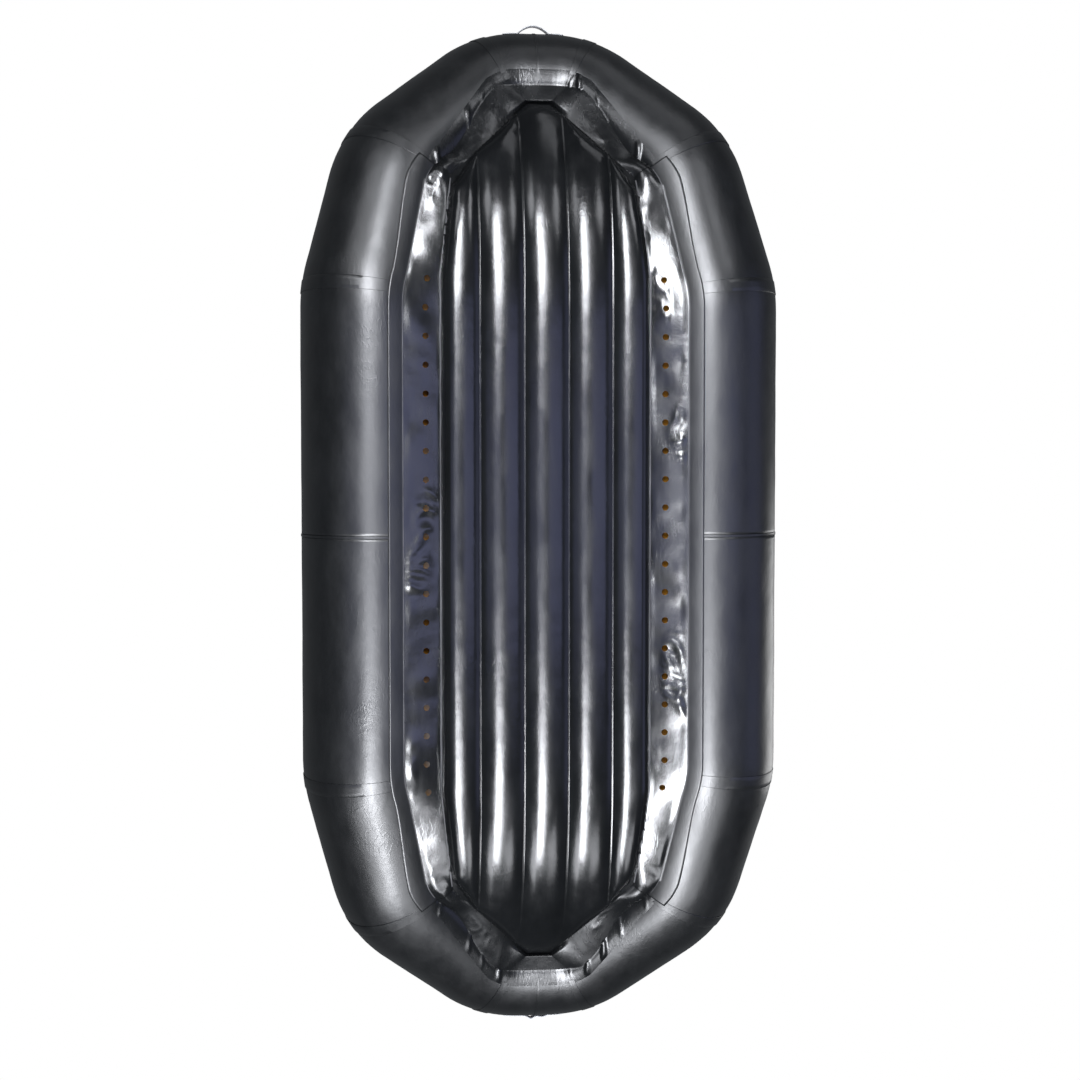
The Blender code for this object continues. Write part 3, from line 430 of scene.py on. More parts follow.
def loft(rows, closed=False, wrapped=False, capped=False):
    """A mesh over rows of points: closed joins each row's ends, and wrapped joins the last row to the first.

    Capped fills the first row and the last.
    """
    count = len(rows[0])
    faces = []
    for row in range(len(rows) if wrapped else len(rows) - 1):
        this, following = row * count, (row + 1) % len(rows) * count
        for left in range(count if closed else count - 1):
            right = (left + 1) % count
            faces.append((this + left, this + right, following + right, following + left))
    if capped:
        faces.append(tuple(reversed(range(count))))
        faces.append(tuple(range((len(rows) - 1) * count, len(rows) * count)))
    mesh = bpy.data.meshes.new("loft")
    mesh.from_pydata([point for row in rows for point in row], [], faces)
    return mesh


def mirrored(point, across, along):
    return Vector((point.x * across, point.y * along, point.z))


def outward(mesh, across, along):
    """Faces of a mesh in another quarter of the raft turned to face out again."""
    if across * along < 0:
        mesh.flip_normals()
    return mesh


def applied(obj):
    """Puts the modifiers of an object into its mesh."""
    bpy.context.view_layer.update()
    graph = bpy.context.evaluated_depsgraph_get()
    mesh = bpy.data.meshes.new_from_object(obj.evaluated_get(graph))
    obj.modifiers.clear()
    obj.data = mesh


def combine(obj, mesh, operation, place=Matrix.Identity(4)):
    """Joins a closed mesh to an object, or takes it out."""
    helper = linked("helper", mesh)
    helper.matrix_world = place
    modifier = obj.modifiers.new("combine", "BOOLEAN")
    modifier.operation = operation
    modifier.object = helper
    applied(obj)
    bpy.data.objects.remove(helper)


def combined_mesh(base, steps):
    """A mesh joined with, or cut by, others in turn."""
    obj = linked("combined", base)
    for operation, mesh in steps:
        combine(obj, mesh, operation)
    mesh = obj.data
    bpy.data.objects.remove(obj)
    return mesh


def placed(mesh, frame):
    copy = mesh.copy()
    copy.transform(frame)
    return copy


def written(bm, mesh):
    bm.to_mesh(mesh)
    bm.free()
    return mesh


def tidied(mesh):
    """Merges a closed mesh's doubled points and turns its faces out."""
    bm = bmesh.new()
    bm.from_mesh(mesh)
    bmesh.ops.remove_doubles(bm, verts=bm.verts, dist=1e-6)
    bmesh.ops.recalc_face_normals(bm, faces=bm.faces)
    return written(bm, mesh)


def cylinder_mesh(radius, low, high, sides, places=(Matrix.Identity(4),)):
    bm = bmesh.new()
    for place in places:
        bmesh.ops.create_cone(
            bm, cap_ends=True, segments=sides, radius1=radius, radius2=radius, depth=high - low,
            matrix=place @ Matrix.Translation((0, 0, (low + high) / 2)),
        )
    return written(bm, bpy.data.meshes.new("cylinder"))


def turned_mesh(profile, steps, closed=False):
    """A profile of (radius, height) points turned about Z."""
    rows = []
    for k in range(steps):
        turn = math.tau * k / steps
        rows.append([Vector((radius * math.cos(turn), radius * math.sin(turn), z)) for radius, z in profile])
    return tidied(loft(rows, closed=closed, wrapped=True))


def box_mesh(low, high, bevel=0.0):
    low, high = Vector(low), Vector(high)
    bm = bmesh.new()
    bmesh.ops.create_cube(bm, size=1)
    bmesh.ops.scale(bm, verts=bm.verts, vec=high - low)
    bmesh.ops.translate(bm, verts=bm.verts, vec=(low + high) / 2)
    if bevel:
        bmesh.ops.bevel(bm, geom=bm.edges[:], offset=bevel, segments=3, profile=0.5, affect="EDGES")
    return written(bm, bpy.data.meshes.new("box"))


def tube_along(points, radius, sides, wrapped=False):
    """A round tube along points."""
    rows = []
    count = len(points)
    turns = [math.tau * j / sides for j in range(sides)]
    for k, point in enumerate(points):
        before = points[k - 1] if wrapped or k else point
        after = points[(k + 1) % count] if wrapped or k < count - 1 else point
        ahead = (after - before).normalized()
        first = ahead.cross(UP).normalized()
        second = first.cross(ahead)
        rows.append([point + (first * math.cos(turn) + second * math.sin(turn)) * radius for turn in turns])
    return tidied(loft(rows, closed=True, wrapped=wrapped, capped=not wrapped))


RIBBON_SECTION = [(-1, -0.6), (-1, 0.6), (-0.97, 1), (-0.5, 1), (0, 1), (0.5, 1), (0.97, 1), (1, 0.6)]
RIBBON_SECTION += [(-u, -v) for u, v in RIBBON_SECTION]


def ribbon(stations, half_width, thickness):
    """Webbing along stations of a point, its direction across and its direction out."""
    rows = []
    for point, across, out in stations:
        rows.append([point + across * u * half_width + out * v * thickness / 2 for u, v in RIBBON_SECTION])
    return tidied(loft(rows, closed=True, capped=True))


STITCH_PITCH = 0.0042
STITCH_SIZE = (0.0030, 0.0008, 0.0006)


def stitch_mesh(seams, surface):
    """Stitches along straight seams between local places, on a surface that gives a point and its normal."""
    bm = bmesh.new()
    for start, end in seams:
        start, end = Vector(start), Vector(end)
        count = max(1, round((end - start).length / STITCH_PITCH))
        for k in range(count):
            point, normal = surface(start.lerp(end, (k + 0.5) / count))
            nearby, _ = surface(start.lerp(end, (k + 0.6) / count))
            ahead = nearby - point
            ahead = (ahead - normal * ahead.dot(normal)).normalized()
            place = framed(point, ahead, normal) @ Matrix.Diagonal((*STITCH_SIZE, 1))
            bmesh.ops.create_cube(bm, size=1, matrix=place)
    return written(bm, bpy.data.meshes.new("stitches"))


def box_seams(near, far, half_width):
    """A sewn box with a cross in it, on each side of the middle."""
    seams = []
    for sign in (1, -1):
        xs = (sign * near, sign * far)
        a, b, c, d = [(x, y, 0) for x, y in zip((*xs, *reversed(xs)), (-half_width,) * 2 + (half_width,) * 2)]
        seams += [(a, b), (b, c), (c, d), (d, a), (a, c), (b, d)]
    return seams


def conform(mesh, radius, axis, inner=0.0, outer=1e-6):
    """Bends a fitting's foot round the tube under it, more and more from an inner to an outer reach."""
    for vert in mesh.vertices:
        reach = math.hypot(vert.co.x, vert.co.y)
        vert.co.z -= vert.co[axis] ** 2 / (2 * radius) * smooth(inner, outer, reach)
    return mesh


def framed(point, x_axis, z_axis):
    """A frame at a point, with its X and Z along two directions."""
    y_axis = z_axis.cross(x_axis).normalized()
    return Matrix.Translation(point) @ Matrix((x_axis, y_axis, z_axis)).transposed().to_4x4()


# Numbers


def wave(x, y, z):
    """Smooth noise between -1 and 1."""
    return noise.noise(Vector((x, y, z)))


def steps_between(low, high, spacing):
    count = max(1, math.ceil((high - low) / spacing))
    return [low + (high - low) * k / count for k in range(count + 1)]


def clamped(share):
    return min(1.0, max(0.0, share))


def mixed(first, last, share):
    return first + (last - first) * share


def smooth(low, high, value):
    """From 0 at low to 1 at high, which may be below it, and level at both."""
    share = clamped((value - low) / (high - low))
    return share * share * (3 - 2 * share)


def soft_min(a, b, width):
    share = max(0.0, width - abs(a - b)) / width
    return min(a, b) - share * share * width / 4


def interpolated(value, knots):
    """A value read off straight lines between (input, output) pairs."""
    for (x0, y0), (x1, y1) in zip(knots, knots[1:]):
        if value <= x1:
            return y0 + (y1 - y0) * (value - x0) / (x1 - x0)
    return knots[-1][1]


# Path of the tubes

Station = namedtuple("Station", "centre radius ahead")


def tube_path():
    """Stations from amidships to the bow's middle, on the starboard side, and how far on each seam is."""
    side_x = HALF_WIDTH - SIDE_RADIUS
    nose_z = SIDE_RADIUS + NOSE_RISE
    corners = [
        Vector((side_x, 0, SIDE_RADIUS, SIDE_RADIUS)),
        Vector((side_x, SIDE_HALF_LENGTH, SIDE_RADIUS, SIDE_RADIUS)),
        Vector((QUARTER_END_X, QUARTER_END_Y, SIDE_RADIUS + QUARTER_RISE, QUARTER_RADIUS)),
        Vector((NOSE_HALF_LENGTH, NOSE_Y, nose_z, NOSE_RADIUS)),
        Vector((0, NOSE_Y, nose_z, NOSE_RADIUS)),
    ]
    runs = [(b - a) / (b - a).xyz.length for a, b in zip(corners, corners[1:])]
    path = [Station(corners[0].xyz, corners[0].w, runs[0].xyz.normalized())]
    seams = []
    for corner, bend, back, on in zip(corners[1:4], (SIDE_BEND, QUARTER_BEND, NOSE_BEND), runs, runs[1:]):
        start, end = corner - back * bend, corner + on * bend
        for k in range(BEND_STEPS + 1):
            share = k / BEND_STEPS
            point = start * (1 - share) ** 2 + corner * 2 * share * (1 - share) + end * share**2
            ahead = (corner - start) * (1 - share) + (end - corner) * share
            path.append(Station(point.xyz, point.w, ahead.xyz.normalized()))
        seams.append(len(path) - 1 - BEND_STEPS // 2)
    path.append(Station(corners[4].xyz, corners[4].w, runs[3].xyz.normalized()))
    along = [0.0]
    for before, after in zip(path, path[1:]):
        along.append(along[-1] + (after.centre - before.centre).length)
    return path, along, [along[k] for k in seams]


PATH, ALONG, (SIDE_SEAM, QUARTER_SEAM, NOSE_SEAM) = tube_path()
BOW_END = ALONG[-1]


def at(distance):
    """The station at a distance along the tubes from amidships. Past either end it goes straight on."""
    k = min(max(bisect.bisect_right(ALONG, distance), 1), len(ALONG) - 1)
    first, last = PATH[k - 1], PATH[k]
    share = (distance - ALONG[k - 1]) / (ALONG[k] - ALONG[k - 1])
    return Station(
        first.centre.lerp(last.centre, share),
        mixed(first.radius, last.radius, share),
        first.ahead.lerp(last.ahead, clamped(share)).normalized(),
    )


def round_point(station, angle, standoff=0.0):
    """A point on the round tube, at degrees from straight down that count up towards the inside."""
    outboard = station.ahead.cross(UP).normalized()
    up = outboard.cross(station.ahead)
    turn = math.radians(angle)
    return station.centre - (up * math.cos(turn) + outboard * math.sin(turn)) * (station.radius + standoff)


# Where the fittings sit

SIDE_LINE = HALF_WIDTH - SIDE_RADIUS
FLOOR_CREST = FLOOR_BOTTOM + FLOOR_THICKNESS
QUARTER_RUN = slice(BEND_STEPS + 1, BEND_STEPS + 3)
THWART_WELD = 0.022
CALM_BESIDE_WELD = (1.2 * THWART_WELD, 2.5 * THWART_WELD)
CALM_REACH = 1.7


def surface_frame(first, last, share, angle, across, along):
    """A frame on a tube's outside, with Z out of it and X along it."""
    start, end = round_point(first, angle), round_point(last, angle)
    point = start.lerp(end, share)
    out = point - first.centre.lerp(last.centre, share)
    signs = Vector((across, along, 1))
    x_axis = ((end - start) * signs).normalized()
    out = out * signs
    return framed(point * signs, x_axis, (out - x_axis * out.dot(x_axis)).normalized())


def d_ring_frame(across, along):
    """On the side tube's top, outboard of its middle: Z is out of it and X down it."""
    station = at(D_RING_Y)
    point = round_point(station, D_RING_ANGLE)
    out = (point - station.centre).normalized()
    signs = Vector((across, along, 1))
    return framed(point * signs, Vector((out.z, 0, -out.x)) * signs, out * signs)


def thwart_station(x, along):
    return Station(Vector((x, along * THWART_Y, THWART_Z)), THWART_RADIUS, Vector((-1, 0, 0)))


def thwart_valve_frame(along):
    ends = thwart_station(SIDE_LINE, 1), thwart_station(-SIDE_LINE, 1)
    return surface_frame(*ends, THWART_VALVE_SHARE, THWART_VALVE_ANGLE, 1, along)


QUARTER_VALVES = {
    (side, end): surface_frame(*PATH[QUARTER_RUN], 0.5, QUARTER_VALVE_ANGLE, across, along)
    for side, across in SIDES.items()
    for end, along in ENDS.items()
}
THWART_VALVES = {half: thwart_valve_frame(along) for half, along in HALVES.items()}
FLOOR_VALVE = Matrix.Translation((0, FLOOR_VALVE_Y, FLOOR_CREST))
RELIEF_VALVE = Matrix.Translation((0, -FLOOR_VALVE_Y, FLOOR_CREST))
D_RINGS = {
    (side, half): d_ring_frame(across, along)
    for side, across in SIDES.items()
    for half, along in HALVES.items()
}
FLANGES = (*QUARTER_VALVES.values(), *THWART_VALVES.values(), FLOOR_VALVE, RELIEF_VALVE)
FITTINGS = [(frame.translation, FLANGE_RADIUS) for frame in FLANGES]
FITTINGS += [(frame.translation, PATCH_HALF_LENGTH) for frame in D_RINGS.values()]


def calm(place):
    """0 on the fabric under a fitting or a thwart's weld, where it is held smooth, and 1 away from them."""
    off = math.hypot(abs(place.y) - THWART_Y, place.z - THWART_Z) - THWART_RADIUS
    beside = off > 0 and abs(place.x) < SIDE_LINE
    share = smooth(*CALM_BESIDE_WELD, off) if beside else 1.0
    for centre, reach in FITTINGS:
        share = min(share, smooth(reach, CALM_REACH * reach, (place - centre).length))
    return share


def slack(point, size, depth):
    """A soft uneven dent, never proud of the tube."""
    return depth * (0.5 + 0.5 * noise.fractal(point / size, 0.8, 2.0, 3))


# Tubes

TUBE_ANGLES = [COLOUR_LINE_ANGLE + k * TUBE_STEP for k in range(round(360 / TUBE_STEP))]
CORNERS = {"side": SIDE_SEAM, "quarter": QUARTER_SEAM, "nose": NOSE_SEAM}
CORNER_PUCKERS = (0.0006, 0.0030, 0.0042)
PUCKER_REACH = 0.10
PUCKER_ANGLE = 75.0
TUBE_DENT = (0.16, 0.0022)
COVERED_ANGLES = ((-24, -6), (30, 24))
TAPE_EDGE = 0.94


def pucker(distance, angle, point):
    """How far the fabric is drawn in by the gathers beside a seam, on the inside of its bend."""
    depth = 0.0
    inside = max(0.0, math.cos(math.radians(angle - PUCKER_ANGLE))) ** 2
    for corner, (seam, most) in enumerate(zip(CORNERS.values(), CORNER_PUCKERS)):
        off = abs(distance - seam)
        if off > PUCKER_REACH or off < TAPE_HALF_WIDTH:
            continue
        fade = smooth(PUCKER_REACH, TAPE_HALF_WIDTH, off) * smooth(TAPE_HALF_WIDTH, 2 * TAPE_HALF_WIDTH, off)
        ripple = 0.5 + 0.5 * wave(angle * 0.16, corner * 7.0 + point.x * 2, point.y * 3)
        depth += most * inside * fade * ripple
    return depth


def colour_bands(mesh):
    """Black below and outboard, a darker amber strip beside the floor that is painted shade, and yellow over
    the rest.
    """
    for material in (YELLOW, BLACK, PAINTED_SHADE_YELLOW):
        mesh.materials.append(material)
    for face in mesh.polygons:
        angle = TUBE_ANGLES[face.index % len(TUBE_ANGLES)]
        face.material_index = 1 if angle < SIDE_FOLD_ANGLE else 2 if angle < PAINTED_SHADE_ANGLE else 0


def build_tube_section(name, low, high, across, along):
    """One fabric section: black from above its outboard edge down to the flap, and yellow over the rest.

    The yellow beside the floor is painted a darker amber, as painted shade in the crevice between the tube
    and the floor. It is smooth under a flap.
    """
    rows = []
    for distance in steps_between(low, high, TUBE_SPACING):
        side = -across if distance > BOW_END else across
        distance = min(distance, 2 * BOW_END - distance)
        station = at(distance)
        centre = mirrored(station.centre, side, along)
        row = []
        for angle in TUBE_ANGLES:
            place = mirrored(round_point(station, angle), side, along)
            covered = math.prod(smooth(*edge, angle) for edge in COVERED_ANGLES)
            inward = (slack(place, *TUBE_DENT) + pucker(distance, angle, place)) * calm(place)
            row.append(place - (place - centre).normalized() * inward * (1.0 - covered))
        rows.append(row)
    mesh = outward(loft(rows, closed=True), across, along)
    colour_bands(mesh)
    return made_fabric(name, mesh, YELLOW, INWARD)


def build_tubes():
    """All fourteen sections."""
    gap = TOUCH / 2
    sections = {}
    for end, along in ENDS.items():
        spans = {f"{end}_nose": (NOSE_SEAM + gap, 2 * BOW_END - (NOSE_SEAM + gap), 1)}
        half = "fore" if along > 0 else "aft"
        for side, across in SIDES.items():
            spans[f"{side}_{half}_side"] = (gap, SIDE_SEAM - gap, across)
            spans[f"{side}_{end}_quarter"] = (SIDE_SEAM + gap, QUARTER_SEAM - gap, across)
            spans[f"{side}_{end}_angle"] = (QUARTER_SEAM + gap, NOSE_SEAM - gap, across)
        for name, span in spans.items():
            sections[name] = build_tube_section(name, *span, along)
    return sections


def build_tape(name, distance, half_width, across, along):
    """A thin band welded over a seam, all round the tube."""
    edge = half_width * TAPE_EDGE
    profile = [(-half_width, 0.1), (-edge, 1.0), (-edge / 3, 0.85)]
    profile += [(-offset, share) for offset, share in reversed(profile)]
    rows = []
    for offset, share in profile:
        station = at(distance + offset)
        ring = [round_point(station, angle, TAPE_THICKNESS * share) for angle in TUBE_ANGLES]
        rows.append([mirrored(point, across, along) for point in ring])
    mesh = outward(loft(rows, closed=True, wrapped=True), across, along)
    colour_bands(mesh)
    made_piece(name, mesh, YELLOW)


def build_tapes():
    for end, along in ENDS.items():
        build_tape(f"{end}_middle_tape", BOW_END, NARROW_TAPE_HALF_WIDTH, 1, along)
        for side, across in SIDES.items():
            for corner, seam in CORNERS.items():
                build_tape(f"{side}_{end}_{corner}_tape", seam, TAPE_HALF_WIDTH, across, along)
    for side, across in SIDES.items():
        build_tape(f"{side}_middle_tape", 0.0, NARROW_TAPE_HALF_WIDTH, across, 1)


# Floor

SHOULDER = Vector((SHOULDER_HALF_WIDTH, SHOULDER_Y))
DIAGONAL = Vector((TIP_HALF_WIDTH - SHOULDER_HALF_WIDTH, TIP_Y - SHOULDER_Y))
DIAGONAL_OUT = Vector((DIAGONAL.y, -DIAGONAL.x)).normalized()
ROUND_EDGE = FLOOR_THICKNESS / 2
EDGE_DEPTHS = [ROUND_EDGE * (1 - math.cos(math.radians(9 * step))) for step in range(11)]
EDGE_BLEND = 0.012
OUTER_VALLEY = 1.5 * CHAMBER_PITCH
OUTER_CREST = (OUTER_VALLEY + FLOOR_HALF_WIDTH) / 2
VALLEY_HALF_THICKNESS = FLOOR_THICKNESS / 2 - CHAMBER_CROWN
VALLEY_WELD = 0.0035
VALLEY_WELD_STEP = VALLEY_WELD * 0.6
CHAMBER_SHARES = [0.0, 0.2, 0.4, 0.58, 0.72, 0.83, 0.9, 0.95]
EDGE_PUCKER, FINE_EDGE_PUCKER = 0.0045, 0.0015
EDGE_PUCKER_FADES = ((0.20, 0.03), (0.0, 0.03))
FLOOR_DENT = (0.16, 0.0012)
WRINKLE_SIZE, WRINKLE, END_WRINKLE = 0.06, 0.0004, 0.002
END_WRINKLE_FADE = (0.22, 0.02)
THIN_EDGE_FADE = (0.004, 0.02)


def floor_middle(y):
    share = max(0.0, abs(y) - ROCKER_START) / (TIP_Y - ROCKER_START)
    return FLOOR_BOTTOM + FLOOR_THICKNESS / 2 + TIP_RISE * share**ROCKER_POWER


def floor_half_width(y):
    share = (abs(y) - TAPER_START) / (SHOULDER_Y - TAPER_START)
    return mixed(FLOOR_HALF_WIDTH, SHOULDER_HALF_WIDTH, clamped(share))


def outer_squeeze(y):
    return (floor_half_width(y) - OUTER_VALLEY) / (FLOOR_HALF_WIDTH - OUTER_VALLEY)


def diagonal_depth(x, y):
    return (SHOULDER - Vector((abs(x), abs(y)))).dot(DIAGONAL_OUT)


def floor_half_thickness(x, y):
    """Half of the floor's thickness: arched chambers with a narrow weld in each valley, and a round edge."""
    x, y = abs(x), abs(y)
    if x > OUTER_VALLEY:
        x = OUTER_VALLEY + (x - OUTER_VALLEY) / outer_squeeze(y)
    if x <= OUTER_VALLEY:
        half = CHAMBER_PITCH / 2
        offset = abs((x + half) % CHAMBER_PITCH - half) / half
    else:
        half = OUTER_CREST - OUTER_VALLEY
        offset = abs(min(0.0, (x - OUTER_CREST) / half))
    arch = 1 - max(0.0, offset) ** 2
    if (1 - offset) * half < VALLEY_WELD:
        arch = 1 - (1 - VALLEY_WELD / half) ** 2
    chamber = VALLEY_HALF_THICKNESS + CHAMBER_CROWN * arch
    inside = min(FLOOR_HALF_WIDTH - x, diagonal_depth(x, y), TIP_Y - y)
    share = clamped(inside / ROUND_EDGE)
    edge = ROUND_EDGE * math.sqrt(1 - (1 - share) ** 2)
    return max(soft_min(chamber, edge, EDGE_BLEND), SKIN + TOUCH)


def chamber_columns():
    """Where the floor's sheet is cut lengthways: close together at the valleys and at the rounded edge."""
    half = CHAMBER_PITCH / 2
    middle = [share * half for share in CHAMBER_SHARES]
    middle += [half - VALLEY_WELD, half - VALLEY_WELD_STEP, half]
    columns = middle + [CHAMBER_PITCH - c for c in middle] + [CHAMBER_PITCH + c for c in middle]
    columns += [OUTER_CREST - share * (OUTER_CREST - OUTER_VALLEY) for share in CHAMBER_SHARES]
    columns += [OUTER_VALLEY + VALLEY_WELD_STEP, OUTER_VALLEY + VALLEY_WELD]
    columns += [FLOOR_HALF_WIDTH - depth for depth in EDGE_DEPTHS]
    return sorted(set(round(column, 6) for column in columns))


def edge_pucker(x, y, direction):
    """Gathers that run in from the floor's diagonal edges, where the chambers are drawn together."""
    inside = diagonal_depth(x, y)
    fade = math.prod(smooth(*edge, inside) for edge in EDGE_PUCKER_FADES)
    along_edge = Vector((abs(x), abs(y))).dot(DIAGONAL.normalized())
    side = math.copysign(3.0, x) + math.copysign(5.0, y)
    broad = wave(along_edge * 26, side, inside * 2 + direction)
    fine = wave(along_edge * 60, side, inside * 3 + 9)
    return fade * (EDGE_PUCKER * abs(broad) + FINE_EDGE_PUCKER * abs(fine))


def floor_sheet():
    """The floor's outline as a flat sheet, cut along its chambers and the steps of its diagonal edges."""
    half_columns = chamber_columns()
    columns = [-x for x in reversed(half_columns) if x > 0] + half_columns
    ys = [-TIP_Y + depth for depth in EDGE_DEPTHS[:-1]]
    ys += steps_between(-TIP_Y + ROUND_EDGE, TIP_Y - ROUND_EDGE, FLOOR_SPACING)
    ys += [TIP_Y - depth for depth in reversed(EDGE_DEPTHS[:-1])]
    rows = []
    for y in ys:
        row = []
        for x in columns:
            beyond = max(0.0, abs(x) - OUTER_VALLEY)
            row.append(Vector((x + math.copysign(beyond * (outer_squeeze(y) - 1), x), y, 0)))
        rows.append(row)
    mesh = loft(rows)
    bm = bmesh.new()
    bm.from_mesh(mesh)
    for depth in EDGE_DEPTHS:
        corner = SHOULDER - DIAGONAL_OUT * depth
        for across in (1, -1):
            for along in (1, -1):
                bmesh.ops.bisect_plane(
                    bm, geom=bm.verts[:] + bm.edges[:] + bm.faces[:], dist=1e-6,
                    plane_co=(corner.x * across, corner.y * along, 0),
                    plane_no=(DIAGONAL_OUT.x * across, DIAGONAL_OUT.y * along, 0), clear_outer=depth == 0,
                )
    bmesh.ops.remove_doubles(bm, verts=bm.verts, dist=2e-4)
    return mesh, bm


def build_floor_skin(name, direction):
    """The bottom skin with direction -1, or the top one with 1."""
    mesh, bm = floor_sheet()
    for vert in bm.verts:
        x, y, _ = vert.co
        half = floor_half_thickness(x, y)
        place = Vector((x, y, direction))
        held = calm(Vector((x, y, FLOOR_CREST))) if direction > 0 else 1.0
        end = smooth(*END_WRINKLE_FADE, min(diagonal_depth(x, y), TIP_Y - abs(y)))
        wrinkle = slack(place, *FLOOR_DENT) + slack(place, WRINKLE_SIZE, WRINKLE + END_WRINKLE * end)
        wrinkle = held * (wrinkle + edge_pucker(x, y, direction))
        vert.co.z = floor_middle(y) + direction * max(half - wrinkle * smooth(*THIN_EDGE_FADE, half), SKIN)
    if direction < 0:
        bmesh.ops.reverse_faces(bm, faces=bm.faces)
    return made_fabric(name, written(bm, mesh), BLACK_FLOOR, INWARD)


# Flaps

FLAP_STANDOFF = TAPE_THICKNESS + TOUCH
FLAP_BELLY = 0.004
END_FLAP_SAG = 0.022
END_FLAP_CREASE = 0.87
SAG_FADE = (NOSE_SEAM - 0.14, NOSE_SEAM)
END_FLAP_CRUMPLE = 0.40
END_CRUMPLE_FADE = (QUARTER_SEAM, QUARTER_SEAM + 0.10)
NOSE_FLAP_CRUMPLE = 0.10
NOSE_CRUMPLE_FADE = (NOSE_SEAM - 0.18, NOSE_SEAM - 0.04)
SHOULDER_LUMP = 0.014
SHOULDER_LUMP_FADE = (0.15, 0.03)
STRIP_FADES = ((0.0, 0.22), (1.0, 0.82))
BAND_STEPS = 8
FEATHER_STEPS = 5
STRIP_STEPS = 30
BROAD_FOLD, SOFT_FOLD, SHARP_FOLD, CREASE, EDGE_GATHER = 0.0060, 0.0026, 0.0042, 0.0012, 0.0006
SEAM_GATHERS = ((QUARTER_SEAM, 0.0006), (NOSE_SEAM, 0.0005))
SEAM_GATHER_FADE = (0.036, 0.008)
BAND_CREASE = 0.010
BAND_CREASE_FADE = (0.12, 0.5)
BAND_FADE = (0.0, 0.35)
BEAD_MARGIN = 0.02
BEAD_SIDES = 8
FLOOR_LIP_RADIUS = 0.0032
FLOOR_LIP_PLACE = (0.003, 0, -0.005)
FLOOR_LIP_SWAY = 0.0015
FOLD_RIDGE_RADIUS = 0.0020
FOLD_RIDGE_SWAY = 0.0004
FLOOR_KNOTS = [
    (0.0, 0.0),
    (SIDE_HALF_LENGTH - SIDE_BEND, ROCKER_START),
    (SIDE_SEAM, (ROCKER_START + TAPER_START) / 2),
    (SIDE_SEAM + SIDE_BEND, TAPER_START),
    (QUARTER_SEAM - QUARTER_BEND, TAPER_START + 0.8 * (SHOULDER_Y - TAPER_START)),
    (QUARTER_SEAM, SHOULDER_Y),
]


def folds(place, u, v, depth):
    """Broad soft folds across a flap, with crumpled patches here and there, more of them beside the tube."""
    bend = noise.noise(place * 6) * 0.7
    here = smooth(0.02, 0.40, wave(u * 3.6, v * 1.2, 21.0) + 0.16 * (0.5 - v))
    broad = wave(u * 5.0, v * 0.7, 3.1) * BROAD_FOLD
    soft = wave(u * 12.0, v * 1.4, 11.7) * SOFT_FOLD
    fold = (1 - 2.2 * abs(wave(u * 11 + bend, v * 1.5 - bend, 7.7))) * SHARP_FOLD
    crease = (1 - 3 * abs(wave(u * 24 + bend * 2, v * 2.4 + bend, 1.3))) * CREASE
    gathers = wave(u * 60, v * 1.3, 5.3) * EDGE_GATHER * (2 * abs(v - 0.5)) ** 2
    return (broad + soft + (fold + crease) * here + gathers) * depth


def crumple(distance):
    """How crumpled the flaps are: less in the end flaps, and least under the nose."""
    at_end = smooth(*END_CRUMPLE_FADE, distance)
    at_nose = smooth(*NOSE_CRUMPLE_FADE, distance)
    return 1 - (1 - END_FLAP_CRUMPLE) * at_end - (END_FLAP_CRUMPLE - NOSE_FLAP_CRUMPLE) * at_nose


def band_gathers(distance, share, across, along):
    """Upright gathers of the band close to the seams, and a few creases across it between them."""
    lift = 0.0
    for seam, depth in SEAM_GATHERS:
        fade = smooth(*SEAM_GATHER_FADE, abs(distance - seam))
        lift += depth * fade * (0.5 + wave(distance * 95, seam * 3 + 2 * across, along * 4.0 + share * 0.6))
    if QUARTER_SEAM < distance < NOSE_SEAM:
        slant = distance + 0.05 * share
        lift += BAND_CREASE * smooth(*BAND_CREASE_FADE, wave(slant * 17, 2.0 * across, 7.0 * along))
    return lift * smooth(*BAND_FADE, share)


def flap_rows(distances, standoffs, start_angle, fold_angle, floor_point, belly, across, along):
    """Rows of points from the band on the tube to the floor's edge, with the free strip between them folded.

    Belly is how far the strip stands out below, at a distance along the tube and a share of its width.
    """
    rows = []
    for distance in distances:
        station = at(distance)
        start, fold = start_angle(distance), fold_angle(distance)
        width = (fold - start) / BAND_STEPS
        band = [round_point(station, start + width * k, standoffs[k]) for k in range(BAND_STEPS + 1)]
        leave, edge = band[-1], floor_point(distance)
        normal = (edge - leave).cross(station.ahead).normalized()
        if normal.z > 0:
            normal = -normal
        row = []
        for k, point in enumerate(band):
            place = mirrored(point, across, along)
            out = mirrored((point - station.centre).normalized(), across, along)
            row.append(place + out * band_gathers(distance, k / BAND_STEPS, across, along))
        for k in range(1, STRIP_STEPS + 1):
            v = k / STRIP_STEPS
            place = mirrored(leave.lerp(edge, v), across, along)
            held = math.prod(smooth(*edge, v) for edge in STRIP_FADES)
            out = folds(place, distance * along + 5 * across, v, held * crumple(distance))
            row.append(place + mirrored(normal, across, along) * (out + belly(distance, v)))
        rows.append(row)
    return rows


def flap_belly(distance):
    return FLAP_BELLY + SHOULDER_LUMP * smooth(*SHOULDER_LUMP_FADE, abs(distance - QUARTER_SEAM))


def drain_belly(distance, v):
    return flap_belly(distance) * 4 * v * (1 - v)


def drain_start_angle(distance):
    share = smooth(SIDE_SEAM + SIDE_BEND, QUARTER_SEAM - QUARTER_BEND, distance)
    return mixed(BAND_START_ANGLE, END_FOLD_ANGLE, share)


def drain_fold_angle(_):
    return SIDE_FOLD_ANGLE


def drain_floor_point(distance):
    y = interpolated(distance, FLOOR_KNOTS)
    return Vector((floor_half_width(y), y, floor_middle(y)))


